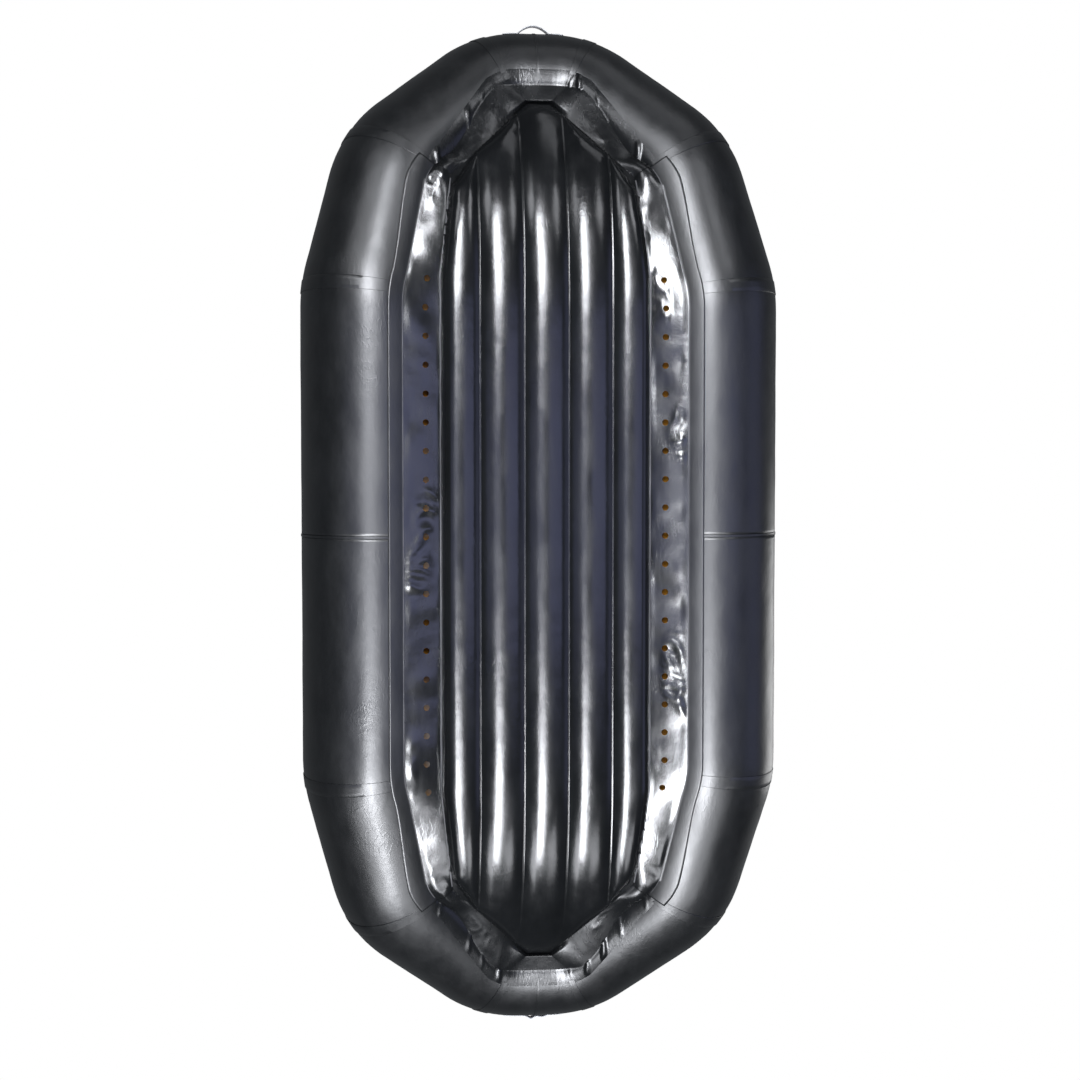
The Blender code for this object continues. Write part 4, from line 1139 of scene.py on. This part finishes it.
def finish_band(mesh, count):
    """The band has the tube's dull coat, and the free strip is glossy."""
    for material in (BLACK_FLAP, BLACK):
        mesh.materials.append(material)
    for face in mesh.polygons:
        face.material_index = int(face.index % (count - 1) < BAND_STEPS)


def build_drain_flap(name, across):
    distances = steps_between(0.0, QUARTER_SEAM - TOUCH, FLAP_SPACING)
    standoffs = [FLAP_STANDOFF] * (BAND_STEPS + 1)
    settings = (distances, standoffs, drain_start_angle, drain_fold_angle, drain_floor_point, drain_belly)
    fore, aft = flap_rows(*settings, across, 1), flap_rows(*settings, across, -1)
    seam_row = [a.lerp(b, 0.5) for a, b in zip(fore[0], aft[0])]
    mesh = outward(loft([*reversed(aft[1:]), seam_row, *fore[1:]]), across, 1)
    finish_band(mesh, len(seam_row))
    obj = made_fabric(name, mesh, BLACK_FLAP, OUTWARD)
    applied(obj)
    places = []
    for k in range(HOLE_COUNT):
        y = (k - (HOLE_COUNT - 1) / 2) * HOLE_PITCH
        leave = round_point(at(abs(y)), SIDE_FOLD_ANGLE)
        centre = leave.lerp(drain_floor_point(abs(y)), HOLE_SHARE)
        places.append(Matrix.Translation((across * centre.x, y, centre.z)))
    combine(obj, cylinder_mesh(HOLE_RADIUS, -HOLE_DEPTH, HOLE_DEPTH, HOLE_SIDES, places), "DIFFERENCE")
    return obj


def end_belly(distance, v):
    """Nearly flat beside the angles, with a lump at the shoulder, and sagging to a crease under the nose."""
    nose = smooth(*SAG_FADE, distance)
    crease = min(v / END_FLAP_CREASE, (1 - v) / (1 - END_FLAP_CREASE))
    return flap_belly(distance) * (1 - nose) * 4 * v * (1 - v) + END_FLAP_SAG * nose * crease


def end_start_angle(distance):
    share = min(1.0, (distance - QUARTER_SEAM) / (NOSE_SEAM - QUARTER_SEAM))
    return mixed(END_BAND_START_ANGLE, -END_FOLD_ANGLE, share)


def end_fold_angle(distance):
    share = smooth(QUARTER_SEAM + QUARTER_BEND, NOSE_SEAM - NOSE_BEND, distance)
    return mixed(SIDE_FOLD_ANGLE, END_FOLD_ANGLE, share)


def end_floor_point(distance):
    """The floor's edge, from its shoulder to its tip's corner at the nose's seam and to the middle line."""
    to_corner = max(0.0, (distance - QUARTER_SEAM) / (NOSE_SEAM - QUARTER_SEAM))
    corner = SHOULDER + DIAGONAL * min(to_corner, 1.0)
    if distance > NOSE_SEAM:
        share = 1 + (distance - NOSE_SEAM) / (BOW_END - NOSE_SEAM)
        corner.x -= TIP_HALF_WIDTH * (share - 1)
    return Vector((*corner, floor_middle(corner.y)))


def build_end_flap(name, along):
    distances = steps_between(QUARTER_SEAM + TOUCH, BOW_END, FLAP_SPACING)
    feather = [min(1.0, k / FEATHER_STEPS) for k in range(BAND_STEPS + 1)]
    standoffs = [mixed(-SKIN, FLAP_STANDOFF, share) for share in feather]
    settings = (distances, standoffs, end_start_angle, end_fold_angle, end_floor_point, end_belly)
    starboard, port = flap_rows(*settings, 1, along), flap_rows(*settings, -1, along)
    middle_row = [a.lerp(b, 0.5) for a, b in zip(starboard[-1], port[-1])]
    mesh = outward(loft([*starboard[:-1], middle_row, *reversed(port[:-1])]), 1, along)
    obj = made_fabric(name, mesh, BLACK_END_FLAP, OUTWARD)
    applied(obj)
    obj.data.set_sharp_from_angle(angle=SHARP_ANGLE)
    return obj


def build_flaps():
    """All four flaps, and the drain flaps' beads."""
    for side, across in SIDES.items():
        flap = build_drain_flap(f"{side}_drain_flap", across)
        build_flap_beads(side, across)
    for end, along in ENDS.items():
        flap = build_end_flap(f"{end}_flap", along)


def build_flap_beads(side, across):
    """The welded lip along the floor's edge, and the ridge where the flap leaves the tube."""
    reach = QUARTER_SEAM - BEAD_MARGIN
    lip_x, lip_y, lip_z = FLOOR_LIP_PLACE
    lip, ridge = [], []
    for distance in steps_between(-reach, reach, BEAD_SPACING):
        along = -1 if distance < 0 else 1
        distance = abs(distance)
        sway = wave(distance * 9, across * 3.0, along * 2.0)
        edge = drain_floor_point(distance) + Vector((lip_x + FLOOR_LIP_SWAY * sway, lip_y, lip_z))
        leave = round_point(at(distance), SIDE_FOLD_ANGLE, FLAP_STANDOFF + SKIN + FOLD_RIDGE_SWAY * sway)
        lip.append(mirrored(edge, across, along))
        ridge.append(mirrored(leave, across, along))
    beads = {"floor_lip": (lip, FLOOR_LIP_RADIUS), "fold_ridge": (ridge, FOLD_RIDGE_RADIUS)}
    for name, (points, radius) in beads.items():
        # The beads are painted a lighter grey, a painted highlight along them
        made_piece(f"{side}_{name}", tube_along(points, radius, BEAD_SIDES), PAINTED_HIGHLIGHT_FABRIC)


# Baffles and webs, closed in

DISH_PROFILE = [(0.0, 1), (0.2, 0.93), (0.7, 0.65), (1.0, 0.4), (1.0, 0.2), (1.0, 0.02)]


def build_baffle(name, distance, across, along):
    """A dished round diaphragm with a rim glued to the inside of the tube."""
    station = at(distance)
    radius = station.radius - SKIN - GLUE_GAP
    profile = [(0, 1)] + [(BAFFLE_RIM + depth * BAFFLE_DISH, share) for depth, share in DISH_PROFILE]
    rows = []
    for depth, share in profile:
        moved = Station(station.centre + station.ahead * depth, radius * share, station.ahead)
        rows.append([mirrored(round_point(moved, angle), across, along) for angle in range(0, 360, 5)])
    made_fabric(name, outward(loft(rows, closed=True), across, along), BLACK_FLOOR, INWARD)


def build_baffles():
    half_rim = BAFFLE_RIM / 2
    for side, across in SIDES.items():
        build_baffle(f"{side}_baffle", half_rim, across, 1)
    for end, along in ENDS.items():
        build_baffle(f"{end}_baffle", BOW_END - half_rim, 1, along)


def build_floor_web(name, x):
    """A strip of fabric that ties the floor's skins together along a valley."""
    end = min(-(ROUND_EDGE - diagonal_depth(x, 0)) / DIAGONAL_OUT.y, TIP_Y - ROUND_EDGE)
    rows = []
    for y in steps_between(-end, end, WEB_SPACING):
        half = floor_half_thickness(x, y) - SKIN - GLUE_GAP
        rows.append([Vector((x, y, floor_middle(y) + half * share)) for share in (-1, -0.5, 0, 0.5, 1)])
    made_fabric(name, loft(rows), BLACK_FLOOR, CENTRED)


def build_floor_webs():
    for name, lines in {"inner": 0.5, "outer": 1.5}.items():
        for side, across in SIDES.items():
            build_floor_web(f"{side}_{name}_floor_web", across * lines * CHAMBER_PITCH)


# Thwarts

THWART_SIDES = 96
THWART_ANGLES = [k * 360 / THWART_SIDES for k in range(THWART_SIDES)]
THWART_DENT = (0.14, 0.0024)
WELD_ON_THWART = 0.028
WELD_THICKNESS = 0.0010
WELD_FILLET = 0.0035
WELD_ROOT = 0.003
END_PUCKER = 0.0040
END_PUCKER_REACH = 0.13

# The weld's cross-section: the part that it lies on, how far out on it, and its height in thicknesses
WELD_SECTION = [
    ("thwart", WELD_ON_THWART, 0.1),
    ("thwart", 0.93 * WELD_ON_THWART, 1.0),
    ("thwart", 0.4 * WELD_ON_THWART, 1.0),
    ("thwart", WELD_FILLET, 1.6),
    ("tube", WELD_FILLET, 1.6),
    ("tube", 0.5 * THWART_WELD, 1.0),
    ("tube", 0.93 * THWART_WELD, 1.0),
    ("tube", THWART_WELD, 0.1),
    ("tube", THWART_WELD, -0.3),
    ("tube", WELD_ROOT, -0.3),
    ("thwart", WELD_ROOT, -0.3),
    ("thwart", WELD_ON_THWART, -0.3),
]


def thwart_end(z):
    """How far from the middle a thwart meets the side tube at a height."""
    return SIDE_LINE - math.sqrt((SIDE_RADIUS + TOUCH) ** 2 - (z - SIDE_RADIUS) ** 2)


def build_thwart(name, along):
    """A yellow tube across the raft, gathered where its ends are welded to the side tubes."""
    station = thwart_station(0, along)
    rows = []
    for share in steps_between(-1, 1, THWART_SPACING):
        row = []
        for angle in THWART_ANGLES:
            point = round_point(station, angle)
            out = (point - station.centre).normalized()
            end = thwart_end(point.z)
            point.x = -share * end
            off = end * (1 - abs(share))
            fade = smooth(END_PUCKER_REACH, WELD_ON_THWART, off)
            fade *= smooth(0.8 * WELD_ON_THWART, 1.4 * WELD_ON_THWART, off)
            broad = abs(wave(angle * 0.11, math.copysign(4.0, share), along * 3.0))
            fine = abs(wave(angle * 0.3, math.copysign(9.0, share), along * 5.0))
            inward = slack(point, *THWART_DENT) * smooth(0, WELD_ON_THWART, off)
            inward += END_PUCKER * fade * (broad + 0.5 * fine)
            row.append(point - out * inward * calm(point + out))
        rows.append(row)
    mesh = loft(rows, closed=True)
    face = mesh.polygons[0]
    if face.normal.dot(face.center - Vector((face.center.x, station.centre.y, station.centre.z))) < 0:
        mesh.flip_normals()
    obj = made_fabric(name, mesh, YELLOW, INWARD)
    for side, across in SIDES.items():
        build_thwart_weld(f"{name}_{side}_weld", across, station, along)
    return obj


def build_thwart_weld(name, across, station, along):
    """The tape round a thwart's end: one leg on the thwart and the other on the side tube."""
    line = Vector((across * SIDE_LINE, 0, SIDE_RADIUS))
    rows = []
    for leg, reach, share in WELD_SECTION:
        row = []
        for angle in THWART_ANGLES:
            joint = round_point(station, angle)
            out = (joint - station.centre).normalized()
            joint.x = across * thwart_end(joint.z)
            ragged = reach * (1 + 0.03 * wave(angle * 0.05, across * 2.0, along * 3.0))
            if leg == "thwart":
                row.append(joint + Vector((-across * ragged, 0, 0)) + out * WELD_THICKNESS * share)
                continue
            from_line = joint - line
            normal = Vector((from_line.x, 0, from_line.z)).normalized()
            place = joint + (out - normal * out.dot(normal)).normalized() * ragged
            radial = Vector((place.x - line.x, 0, place.z - line.z)).normalized()
            stand = SIDE_RADIUS + TOUCH + WELD_THICKNESS * share
            row.append(Vector((line.x + radial.x * stand, place.y, line.z + radial.z * stand)))
        rows.append(row)
    made_piece(name, tidied(loft(rows, closed=True, wrapped=True)), YELLOW)


def build_thwarts():
    return {half: build_thwart(f"{half}_thwart", along) for half, along in HALVES.items()}


# Valves

EDGE = 0.0006
RIB_HEIGHT = 0.0007
RIB_REACH = (0.0268, 0.0292)
RIB_SLOPE = 0.0007
NEAR = 1e-4
KNURL_DEPTH = 0.0006


def reach_and_step(vert):
    """How far from its axis a point of a turned mesh is, and at which step round it."""
    step = round(math.atan2(vert.co.y, vert.co.x) / math.tau * VALVE_STEPS)
    return math.hypot(vert.co.x, vert.co.y), step


def ribbed_flange(mesh):
    """Twelve low ribs round the flange."""
    for vert in mesh.vertices:
        reach, step = reach_and_step(vert)
        if RIB_REACH[0] - NEAR < reach < RIB_REACH[1] + NEAR and vert.co.z > TOUCH + NEAR and step % 8 < 4:
            vert.co.z += RIB_HEIGHT
    return mesh


def flange_profile(inside):
    """From a radius on the flange's top, over its rounded edge and back under it to the barrel."""
    reaches = (inside + EDGE / 2, RIB_REACH[0] - RIB_SLOPE, *RIB_REACH, RIB_REACH[1] + RIB_SLOPE)
    outline = [(reach, FLANGE_TOP) for reach in (*reaches, FLANGE_RADIUS - EDGE)]
    outline += [(FLANGE_RADIUS, FLANGE_TOP - EDGE)]
    return outline + [(reach, TOUCH) for reach in FLANGE_UNDERSIDE]


def valve_body_mesh(bored=True):
    """A flanged barrel, whose bore has a bridge across it that guides the poppet's stem."""
    outside = [(COLLAR_RADIUS - EDGE, COLLAR_TOP), (COLLAR_RADIUS, COLLAR_TOP - EDGE)]
    outside += [(COLLAR_RADIUS, FLANGE_TOP + EDGE / 2), *flange_profile(COLLAR_RADIUS)]
    outside += [(BARREL_RADIUS, TOUCH), (BARREL_RADIUS, -BARREL_DEPTH)]
    if not bored:
        return ribbed_flange(turned_mesh([(0, COLLAR_TOP), *outside, (0, -BARREL_DEPTH)], VALVE_STEPS))
    bore = [(BORE_RADIUS, -BARREL_DEPTH), (BORE_RADIUS, COLLAR_TOP - EDGE), (BORE_RADIUS + EDGE, COLLAR_TOP)]
    body = ribbed_flange(turned_mesh([*outside, *bore], VALVE_STEPS, closed=True))
    reach, half = (BORE_RADIUS + BARREL_RADIUS) / 2, BRIDGE_WIDTH / 2
    low = BRIDGE_TOP - BRIDGE_THICKNESS
    bridge = box_mesh((-reach, -half, low), (reach, half, BRIDGE_TOP))
    guide = cylinder_mesh(STEM_RADIUS + STEM_GAP, low - 0.001, BRIDGE_TOP + 0.001, 24)
    return combined_mesh(body, [("UNION", bridge), ("DIFFERENCE", guide)])


def poppet_mesh():
    """A button, a stem and the disc that seals the barrel's lower end."""
    top, seat = COLLAR_TOP - BUTTON_DEPTH, -BARREL_DEPTH - TOUCH
    disc = (BORE_RADIUS + BARREL_RADIUS) / 2
    under = top - DISC_THICKNESS
    profile = [(0, top), (BUTTON_RADIUS - EDGE, top), (BUTTON_RADIUS, top - EDGE), (BUTTON_RADIUS, under)]
    profile += [(STEM_RADIUS, under), (STEM_RADIUS, seat), (disc, seat)]
    profile += [(disc, seat - DISC_THICKNESS), (0, seat - DISC_THICKNESS)]
    return turned_mesh(profile, POPPET_STEPS)


def cap_mesh():
    """A knurled cup over the collar, with a rounded bar across its top to turn it by."""
    ceiling, low = COLLAR_TOP + TOUCH, FLANGE_TOP + TOUCH
    top = ceiling + CAP_WALL
    profile = [(0, top), (0.8 * CAP_OUTER, top), (CAP_OUTER - 3 * EDGE, top - 0.3 * EDGE)]
    profile += [(CAP_OUTER - EDGE, top - EDGE), (CAP_OUTER, top - 3 * EDGE), (CAP_OUTER, low + EDGE)]
    profile += [(CAP_OUTER - EDGE, low), (CAP_INNER, low), (CAP_INNER, ceiling), (0, ceiling)]
    mesh = turned_mesh(profile, VALVE_STEPS)
    for vert in mesh.vertices:
        reach, step = reach_and_step(vert)
        if reach > CAP_OUTER - 1e-5 and step % 4 < 2:
            vert.co.x *= 1 - KNURL_DEPTH / CAP_OUTER
            vert.co.y *= 1 - KNURL_DEPTH / CAP_OUTER
    half = GRIP_WIDTH / 2
    low, high = (-GRIP_HALF_LENGTH, -half, ceiling + GRIP_FOOT), (GRIP_HALF_LENGTH, half, top + GRIP_HEIGHT)
    grip = box_mesh(low, high, GRIP_BEVEL)
    return combined_mesh(mesh, [("UNION", grip)])


def relief_valve_mesh():
    """A low dome with six vents, which lets air out when the floor's pressure climbs."""
    dome = []
    for k in range(DOME_STEPS + 1):
        turn = math.pi / 2 * k / DOME_STEPS
        dome.append((RELIEF_DOME_RADIUS * math.sin(turn), FLANGE_TOP + RELIEF_DOME_HEIGHT * math.cos(turn)))
    profile = [*dome, *flange_profile(RELIEF_DOME_RADIUS), (RELIEF_BARREL_RADIUS, TOUCH)]
    profile += [(RELIEF_BARREL_RADIUS, -RELIEF_BARREL_DEPTH), (0, -RELIEF_BARREL_DEPTH)]
    mesh = ribbed_flange(turned_mesh(profile, VALVE_STEPS))
    for vert in mesh.vertices:
        reach, step = reach_and_step(vert)
        vented = VENT_REACH[0] < reach / RELIEF_DOME_RADIUS < VENT_REACH[1] and vert.co.z > FLANGE_TOP
        if vented and step % 16 < 6:
            vert.co.z -= VENT_DEPTH
    return mesh


def add_moulding(node, mesh, frame, body=HULL):
    made_piece(f"{node}_moulding", placed(mesh, frame), PLASTIC, node, body)


def drill(fabric, radius, frame):
    """A hole in the fabric for a valve's barrel."""
    bit = cylinder_mesh(radius + BORE_GAP, -DRILL_REACH, DRILL_REACH, DRILL_SIDES)
    combine(fabric, bit, "DIFFERENCE", frame)


def build_valves(sections, thwarts, floor_top):
    body, plain, poppet, cap = valve_body_mesh(), valve_body_mesh(False), poppet_mesh(), cap_mesh()
    crest_radius = (CHAMBER_PITCH / 2) ** 2 / (2 * CHAMBER_CROWN)
    reach = (COLLAR_RADIUS, FLANGE_RADIUS)
    air_valves = {}
    for (side, end), frame in QUARTER_VALVES.items():
        foot = conform(body.copy(), (SIDE_RADIUS + QUARTER_RADIUS) / 2, 1, *reach)
        air_valves[f"{side}_{end}_valve"] = (sections[f"{side}_{end}_quarter"], frame, foot)
    air_valves["floor_valve"] = (floor_top, FLOOR_VALVE, conform(body.copy(), crest_radius, 0, *reach))
    for name, (fabric, frame, foot) in air_valves.items():
        drill(fabric, BARREL_RADIUS, frame)
        add_moulding(f"{name}_body", foot, frame)
        add_moulding(f"{name}_poppet", poppet, frame, f"{name}_poppet")
        add_moulding(f"{name}_cap", cap, frame, f"{name}_cap")
    drill(floor_top, RELIEF_BARREL_RADIUS, RELIEF_VALVE)
    add_moulding("floor_relief_valve", conform(relief_valve_mesh(), crest_radius, 0, *reach), RELIEF_VALVE)
    for half, frame in THWART_VALVES.items():
        drill(thwarts[half], BARREL_RADIUS, frame)
        name = f"{half}_thwart_valve"
        add_moulding(f"{name}_body", conform(plain.copy(), THWART_RADIUS, 1, *reach), frame)
        add_moulding(f"{name}_cap", cap, frame, f"{name}_cap")


# D-rings


def d_ring_mesh():
    """A welded wire D with its straight bar on the Y axis and its bow towards +X."""
    half, corner = D_RING_HALF_BAR, D_RING_CORNER
    turns = [math.pi / 2 * k / CORNER_STEPS for k in range(CORNER_STEPS + 1)]
    end = [(corner * (1 - math.cos(turn)), half - corner * (1 - math.sin(turn))) for turn in turns]
    bow = [math.pi * (0.5 - k / BOW_STEPS) for k in range(BOW_STEPS + 1)]
    outline = end + [(D_RING_LEG + half * math.cos(turn), half * math.sin(turn)) for turn in bow]
    outline += [(x, -y) for x, y in reversed(end)]
    outline += [(0, (half - corner) * share) for share in (-0.5, 0, 0.5)]
    return tube_along([Vector((x, y, 0)) for x, y in outline], D_RING_WIRE, WIRE_SIDES, wrapped=True)


def patch_mesh():
    """A thin oblong patch with round ends and a bevelled edge."""
    sections = [(share, TOUCH) for share in (0.0, 0.35, 0.7, 1.0)] + [(1.0, PATCH_TOP - PATCH_BEVEL)]
    sections += [(share, PATCH_TOP) for share in (0.985, 0.85, 0.6, 0.3, 0.0)]
    rows = []
    for share, z in sections:
        row = []
        for k in range(PATCH_STEPS):
            turn = math.tau * (k + 0.5) / PATCH_STEPS
            y = PATCH_HALF_WIDTH * math.sin(turn)
            y += math.copysign(PATCH_HALF_LENGTH - PATCH_HALF_WIDTH, y)
            row.append(Vector((share * PATCH_HALF_WIDTH * math.cos(turn), share * y, z)))
        rows.append(row)
    return conform(tidied(loft(rows, closed=True)), SIDE_RADIUS, 0)


def webbing_height(x):
    return PATCH_TOP + WEBBING_THICKNESS / 2 - x * x / (2 * SIDE_RADIUS)


def anchor_webbing_mesh():
    """Webbing that lies on the patch and loops over the D-ring's bar."""
    tail = [(x, webbing_height(x)) for x in steps_between(LOOP_FOOT, WEBBING_TAIL, WEBBING_SPACING)]
    places = [(-x, z) for x, z in reversed(tail)]
    for k in range(LOOP_STEPS + 1):
        turn = math.radians(LOOP_START - LOOP_SWEEP * k / LOOP_STEPS)
        places.append((LOOP_RADIUS * math.cos(turn), BAR_HEIGHT + LOOP_RADIUS * math.sin(turn)))
    places += tail
    stations = []
    for k, (x, z) in enumerate(places):
        before, after = places[max(0, k - 1)], places[min(len(places) - 1, k + 1)]
        ahead = Vector((after[0] - before[0], 0, after[1] - before[1])).normalized()
        stations.append((Vector((x, 0, z)), Vector((0, 1, 0)), Vector((-ahead.z, 0, ahead.x))))
    return ribbon(stations, WEBBING_HALF_WIDTH, WEBBING_THICKNESS)


def tail_surface(place):
    """A point on top of the anchor's webbing tails, and its normal."""
    height = webbing_height(place.x) + WEBBING_THICKNESS / 2
    return Vector((place.x, place.y, height)), Vector((place.x / SIDE_RADIUS, 0, 1)).normalized()


def build_d_rings():
    patch, webbing, ring = patch_mesh(), anchor_webbing_mesh(), d_ring_mesh()
    stitches = stitch_mesh(box_seams(*ANCHOR_STITCHES), tail_surface)
    for (side, half), frame in D_RINGS.items():
        name = f"{side}_{half}_d_ring"
        made_piece(f"{name}_patch", placed(patch, frame), BLACK)
        made_piece(f"{name}_webbing", placed(webbing, frame), WEBBING, f"{name}_anchor")
        made_piece(f"{name}_stitches", placed(stitches, frame), THREAD)
        raised = frame @ Matrix.Translation((0, 0, BAR_HEIGHT))
        made_piece(f"{name}_wire", placed(ring, raised), STEEL, name, name)


# Carry handles


def nose_distance(x, angle, standoff):
    """How far along the tubes the nose's surface is at this distance from the middle line."""
    low, high = QUARTER_SEAM, BOW_END
    for _ in range(HALVINGS):
        middle = (low + high) / 2
        if round_point(at(middle), angle, standoff).x > x:
            low = middle
        else:
            high = middle
    return low


def nose_side(x, standoff):
    """A point on the nose's outermost line, and the directions up and out there."""
    station = at(nose_distance(abs(x), -90, standoff))
    point = round_point(station, -90, standoff)
    up = (round_point(station, -95) - round_point(station, -85)).normalized()
    out = (point - station.centre).normalized()
    point.x, out.x, up.x = (math.copysign(value, x) if x else 0.0 for value in (point.x, abs(out.x), up.x))
    return point, up, out


def bow_arch(x):
    """The bow handle's webbing stands off the nose in a stiff arch."""
    return HANDLE_REACH * max(0.0, 1 - (x / HANDLE_HALF_GRIP) ** 2), 0.0


def stern_slump(x):
    """The stern handle's webbing hangs limp, in a small peak and a fold beside it, and droops."""
    share = max(0.0, 1 - (x / HANDLE_HALF_GRIP) ** 2)
    peak = sum(high * math.exp(-((x - place) / width) ** 2) for high, place, width in SLUMP_PEAKS)
    return peak * min(1.0, 3 * share), -SLUMP_DROOP * share


def build_handle(end, along, shape):
    points, sides = [], []
    for x in steps_between(-HANDLE_END, HANDLE_END, WEBBING_SPACING):
        point, up, _ = nose_side(x, TOUCH + HANDLE_THICKNESS / 2)
        points.append(point + Vector((0, *shape(x))))
        sides.append(up)
    stations = []
    for k, (point, up) in enumerate(zip(points, sides)):
        ahead = (points[min(len(points) - 1, k + 1)] - points[max(0, k - 1)]).normalized()
        out = up.cross(ahead).normalized()
        out = out if out.y > 0 else -out
        stations.append((point, out.cross(ahead).normalized(), out))
    mesh = ribbon(stations, HANDLE_WIDTH / 2, HANDLE_THICKNESS)
    mesh.transform(Matrix.Diagonal((1, along, 1, 1)))
    name = f"{end}_handle"
    made_piece(f"{name}_webbing", tidied(mesh), WEBBING, name)

    def foot_surface(place):
        point, up, out = nose_side(place.x, TOUCH + HANDLE_THICKNESS)
        return mirrored(point + up * place.y, 1, along), mirrored(out, 1, along)

    stitches = stitch_mesh(box_seams(*HANDLE_STITCHES), foot_surface)
    made_piece(f"{name}_stitches", stitches, THREAD)


def build_handles():
    build_handle("bow", 1, bow_arch)
    build_handle("stern", -1, stern_slump)


# Stage

STAGE_REACH = 60.0
STAGE_COLOUR = (0.80, 0.80, 0.80, 1)
SKY_COLOUR = (0.85, 0.9, 0.95, 1)
SKY_STRENGTH = (0.02, 0.18)
LOW = CAMERA_PLACE.z
WHITE, PALE, BLUE = (1, 1, 1), (0.93, 0.95, 1.0), (0.52, 0.56, 1.0)

# Place, aim, size, brightness and colour
LIGHTS = {
    "bow_softbox": ((1.0, 4.05, LOW), (0.6, 1.4, 0), (2.4, 5.0), 56.0, PALE),
    "stern_softbox": ((1.0, -5.1, LOW), (0.6, -1.8, 0), (2.4, 6.4), 58.0, PALE),
    "blue_fill": ((1.1, -0.25, LOW - 0.4), (0.6, 0, 0), (2.4, 3.2), 0.7, BLUE),
    "port_fill": ((-4.6, 0.0, LOW), (0, 0, 0), (3.0, 7.0), 2.2, BLUE),
    "starboard_fill": ((3.6, -0.2, LOW), (0, 0, 0), (2.4, 7.0), 1.0, BLUE),
    "starboard_bow_panel": ((4.7, 6.9, -5.8), (0.7, 1.3, 0), (2.6, 2.6), 7.0, PALE),
    "port_bow_panel": ((-4.6, 6.5, -6.1), (-0.7, 1.3, 0), (2.6, 2.6), 7.0, PALE),
    "starboard_stern_panel": ((3.4, -7.3, -5.9), (0.7, -1.2, 0), (3.0, 3.0), 12.0, PALE),
    "port_stern_panel": ((-2.8, -7.1, -6.5), (-0.7, -1.3, 0), (3.0, 3.0), 8.0, PALE),
    "bow_horizon": ((-3.0, 10.0, -1.6), (0, 1.8, 0.3), (5.0, 3.0), 1.5, PALE),
    "port_wall": ((-11.0, 0, -3.0), (-0.9, 0, 0.3), (9.0, 6.0), 0.9, BLUE),
    "top_softbox": ((0, 0, 7), (0, 0, 0), (6, 6), 1.6, WHITE),
    "port_softbox": ((-7, -2, 5), (0, 0, 0), (3, 5), 3.0, WHITE),
    "starboard_softbox": ((7, 2, 5), (0, 0, 0), (3, 5), 3.0, WHITE),
}
UNREFLECTED = ("top_softbox", "starboard_softbox")


def build_floor_stage():
    """A pale floor for views from above. What the camera below sees, and its light, passes through it."""
    mesh = bpy.data.meshes.new("studio_floor")
    corners = [(x * STAGE_REACH, y * STAGE_REACH, 0) for x, y in ((-1, -1), (1, -1), (1, 1), (-1, 1))]
    mesh.from_pydata(corners, [], [(0, 1, 2, 3)])
    material, tree, shader, surface = new_material("studio_floor")
    set_inputs(tree, shader, {"Base Color": STAGE_COLOUR, "Roughness": 0.9})
    passed = add_node(tree, "ShaderNodeLightPath").outputs["Transparent Depth"]
    share = computed(tree, "ADD", surface["Backfacing"], passed, use_clamp=True)
    clear = add_node(tree, "ShaderNodeBsdfTransparent").outputs[0]
    mix = add_node(tree, "ShaderNodeMixShader", {0: share, 1: shader.outputs[0], 2: clear})
    set_inputs(tree, tree.nodes["Material Output"], {"Surface": mix.outputs[0]})
    mesh.materials.append(material)
    linked("studio_floor", mesh)


def build_lights():
    """Panels below and beyond the raft's ends, which its rising tubes reflect, and bluish ones between them.

    Each is a soft rectangle whose strength is its brightness, whatever its size.
    """
    for name, (place, aim, size, strength, colour) in LIGHTS.items():
        light = bpy.data.lights.new(name, "AREA")
        light.shape = "RECTANGLE"
        light.size, light.size_y = size
        light.energy = strength * math.pi * size[0] * size[1]
        light.color = colour
        obj = linked(name, light)
        obj.location = place
        obj.rotation_euler = (Vector(aim) - Vector(place)).to_track_quat("-Z", "Y").to_euler()
        obj.visible_glossy = name not in UNREFLECTED
        obj.visible_camera = False


def build_world():
    """White behind the raft, and for its light and reflections a dim sky that is nearly dark below."""
    world = bpy.data.worlds.new("studio")
    bpy.context.scene.world = world
    world.use_nodes = True
    tree = world.node_tree
    seen = add_node(tree, "ShaderNodeLightPath").outputs["Is Camera Ray"]
    white = add_node(tree, "ShaderNodeBackground", {"Color": (1, 1, 1, 1), "Strength": 1.0}).outputs[0]
    direction = add_node(tree, "ShaderNodeTexCoord").outputs["Generated"]
    height = add_node(tree, "ShaderNodeSeparateXYZ", {"Vector": direction}).outputs["Z"]
    sky = {"Color": SKY_COLOUR, "Strength": ranged(tree, height, 0.0, 0.5, *SKY_STRENGTH)}
    grey = add_node(tree, "ShaderNodeBackground", sky).outputs[0]
    mix = add_node(tree, "ShaderNodeMixShader", {0: seen, 1: grey, 2: white})
    set_inputs(tree, tree.nodes["World Output"], {"Surface": mix.outputs[0]})
    bpy.context.scene.view_settings.view_transform = "Standard"


def build_camera():
    camera = bpy.data.cameras.new("camera")
    camera.lens = CAMERA_LENS
    camera.sensor_width = CAMERA_SENSOR
    camera.clip_end = 100
    obj = linked("camera", camera)
    back = -CAMERA_AHEAD.normalized()
    right = CAMERA_UP.cross(back).normalized()
    turn = Matrix((right, back.cross(right), back)).transposed().to_4x4()
    obj.matrix_world = Matrix.Translation(CAMERA_PLACE) @ turn
    bpy.context.scene.camera = obj


build_camera()
build_world()
build_lights()
build_floor_stage()
SECTIONS = build_tubes()
build_tapes()
build_baffles()
build_floor_skin("floor_bottom_skin", -1)
FLOOR_TOP = build_floor_skin("floor_top_skin", 1)
build_floor_webs()
build_flaps()
THWARTS = build_thwarts()
build_valves(SECTIONS, THWARTS, FLOOR_TOP)
build_d_rings()
build_handles()
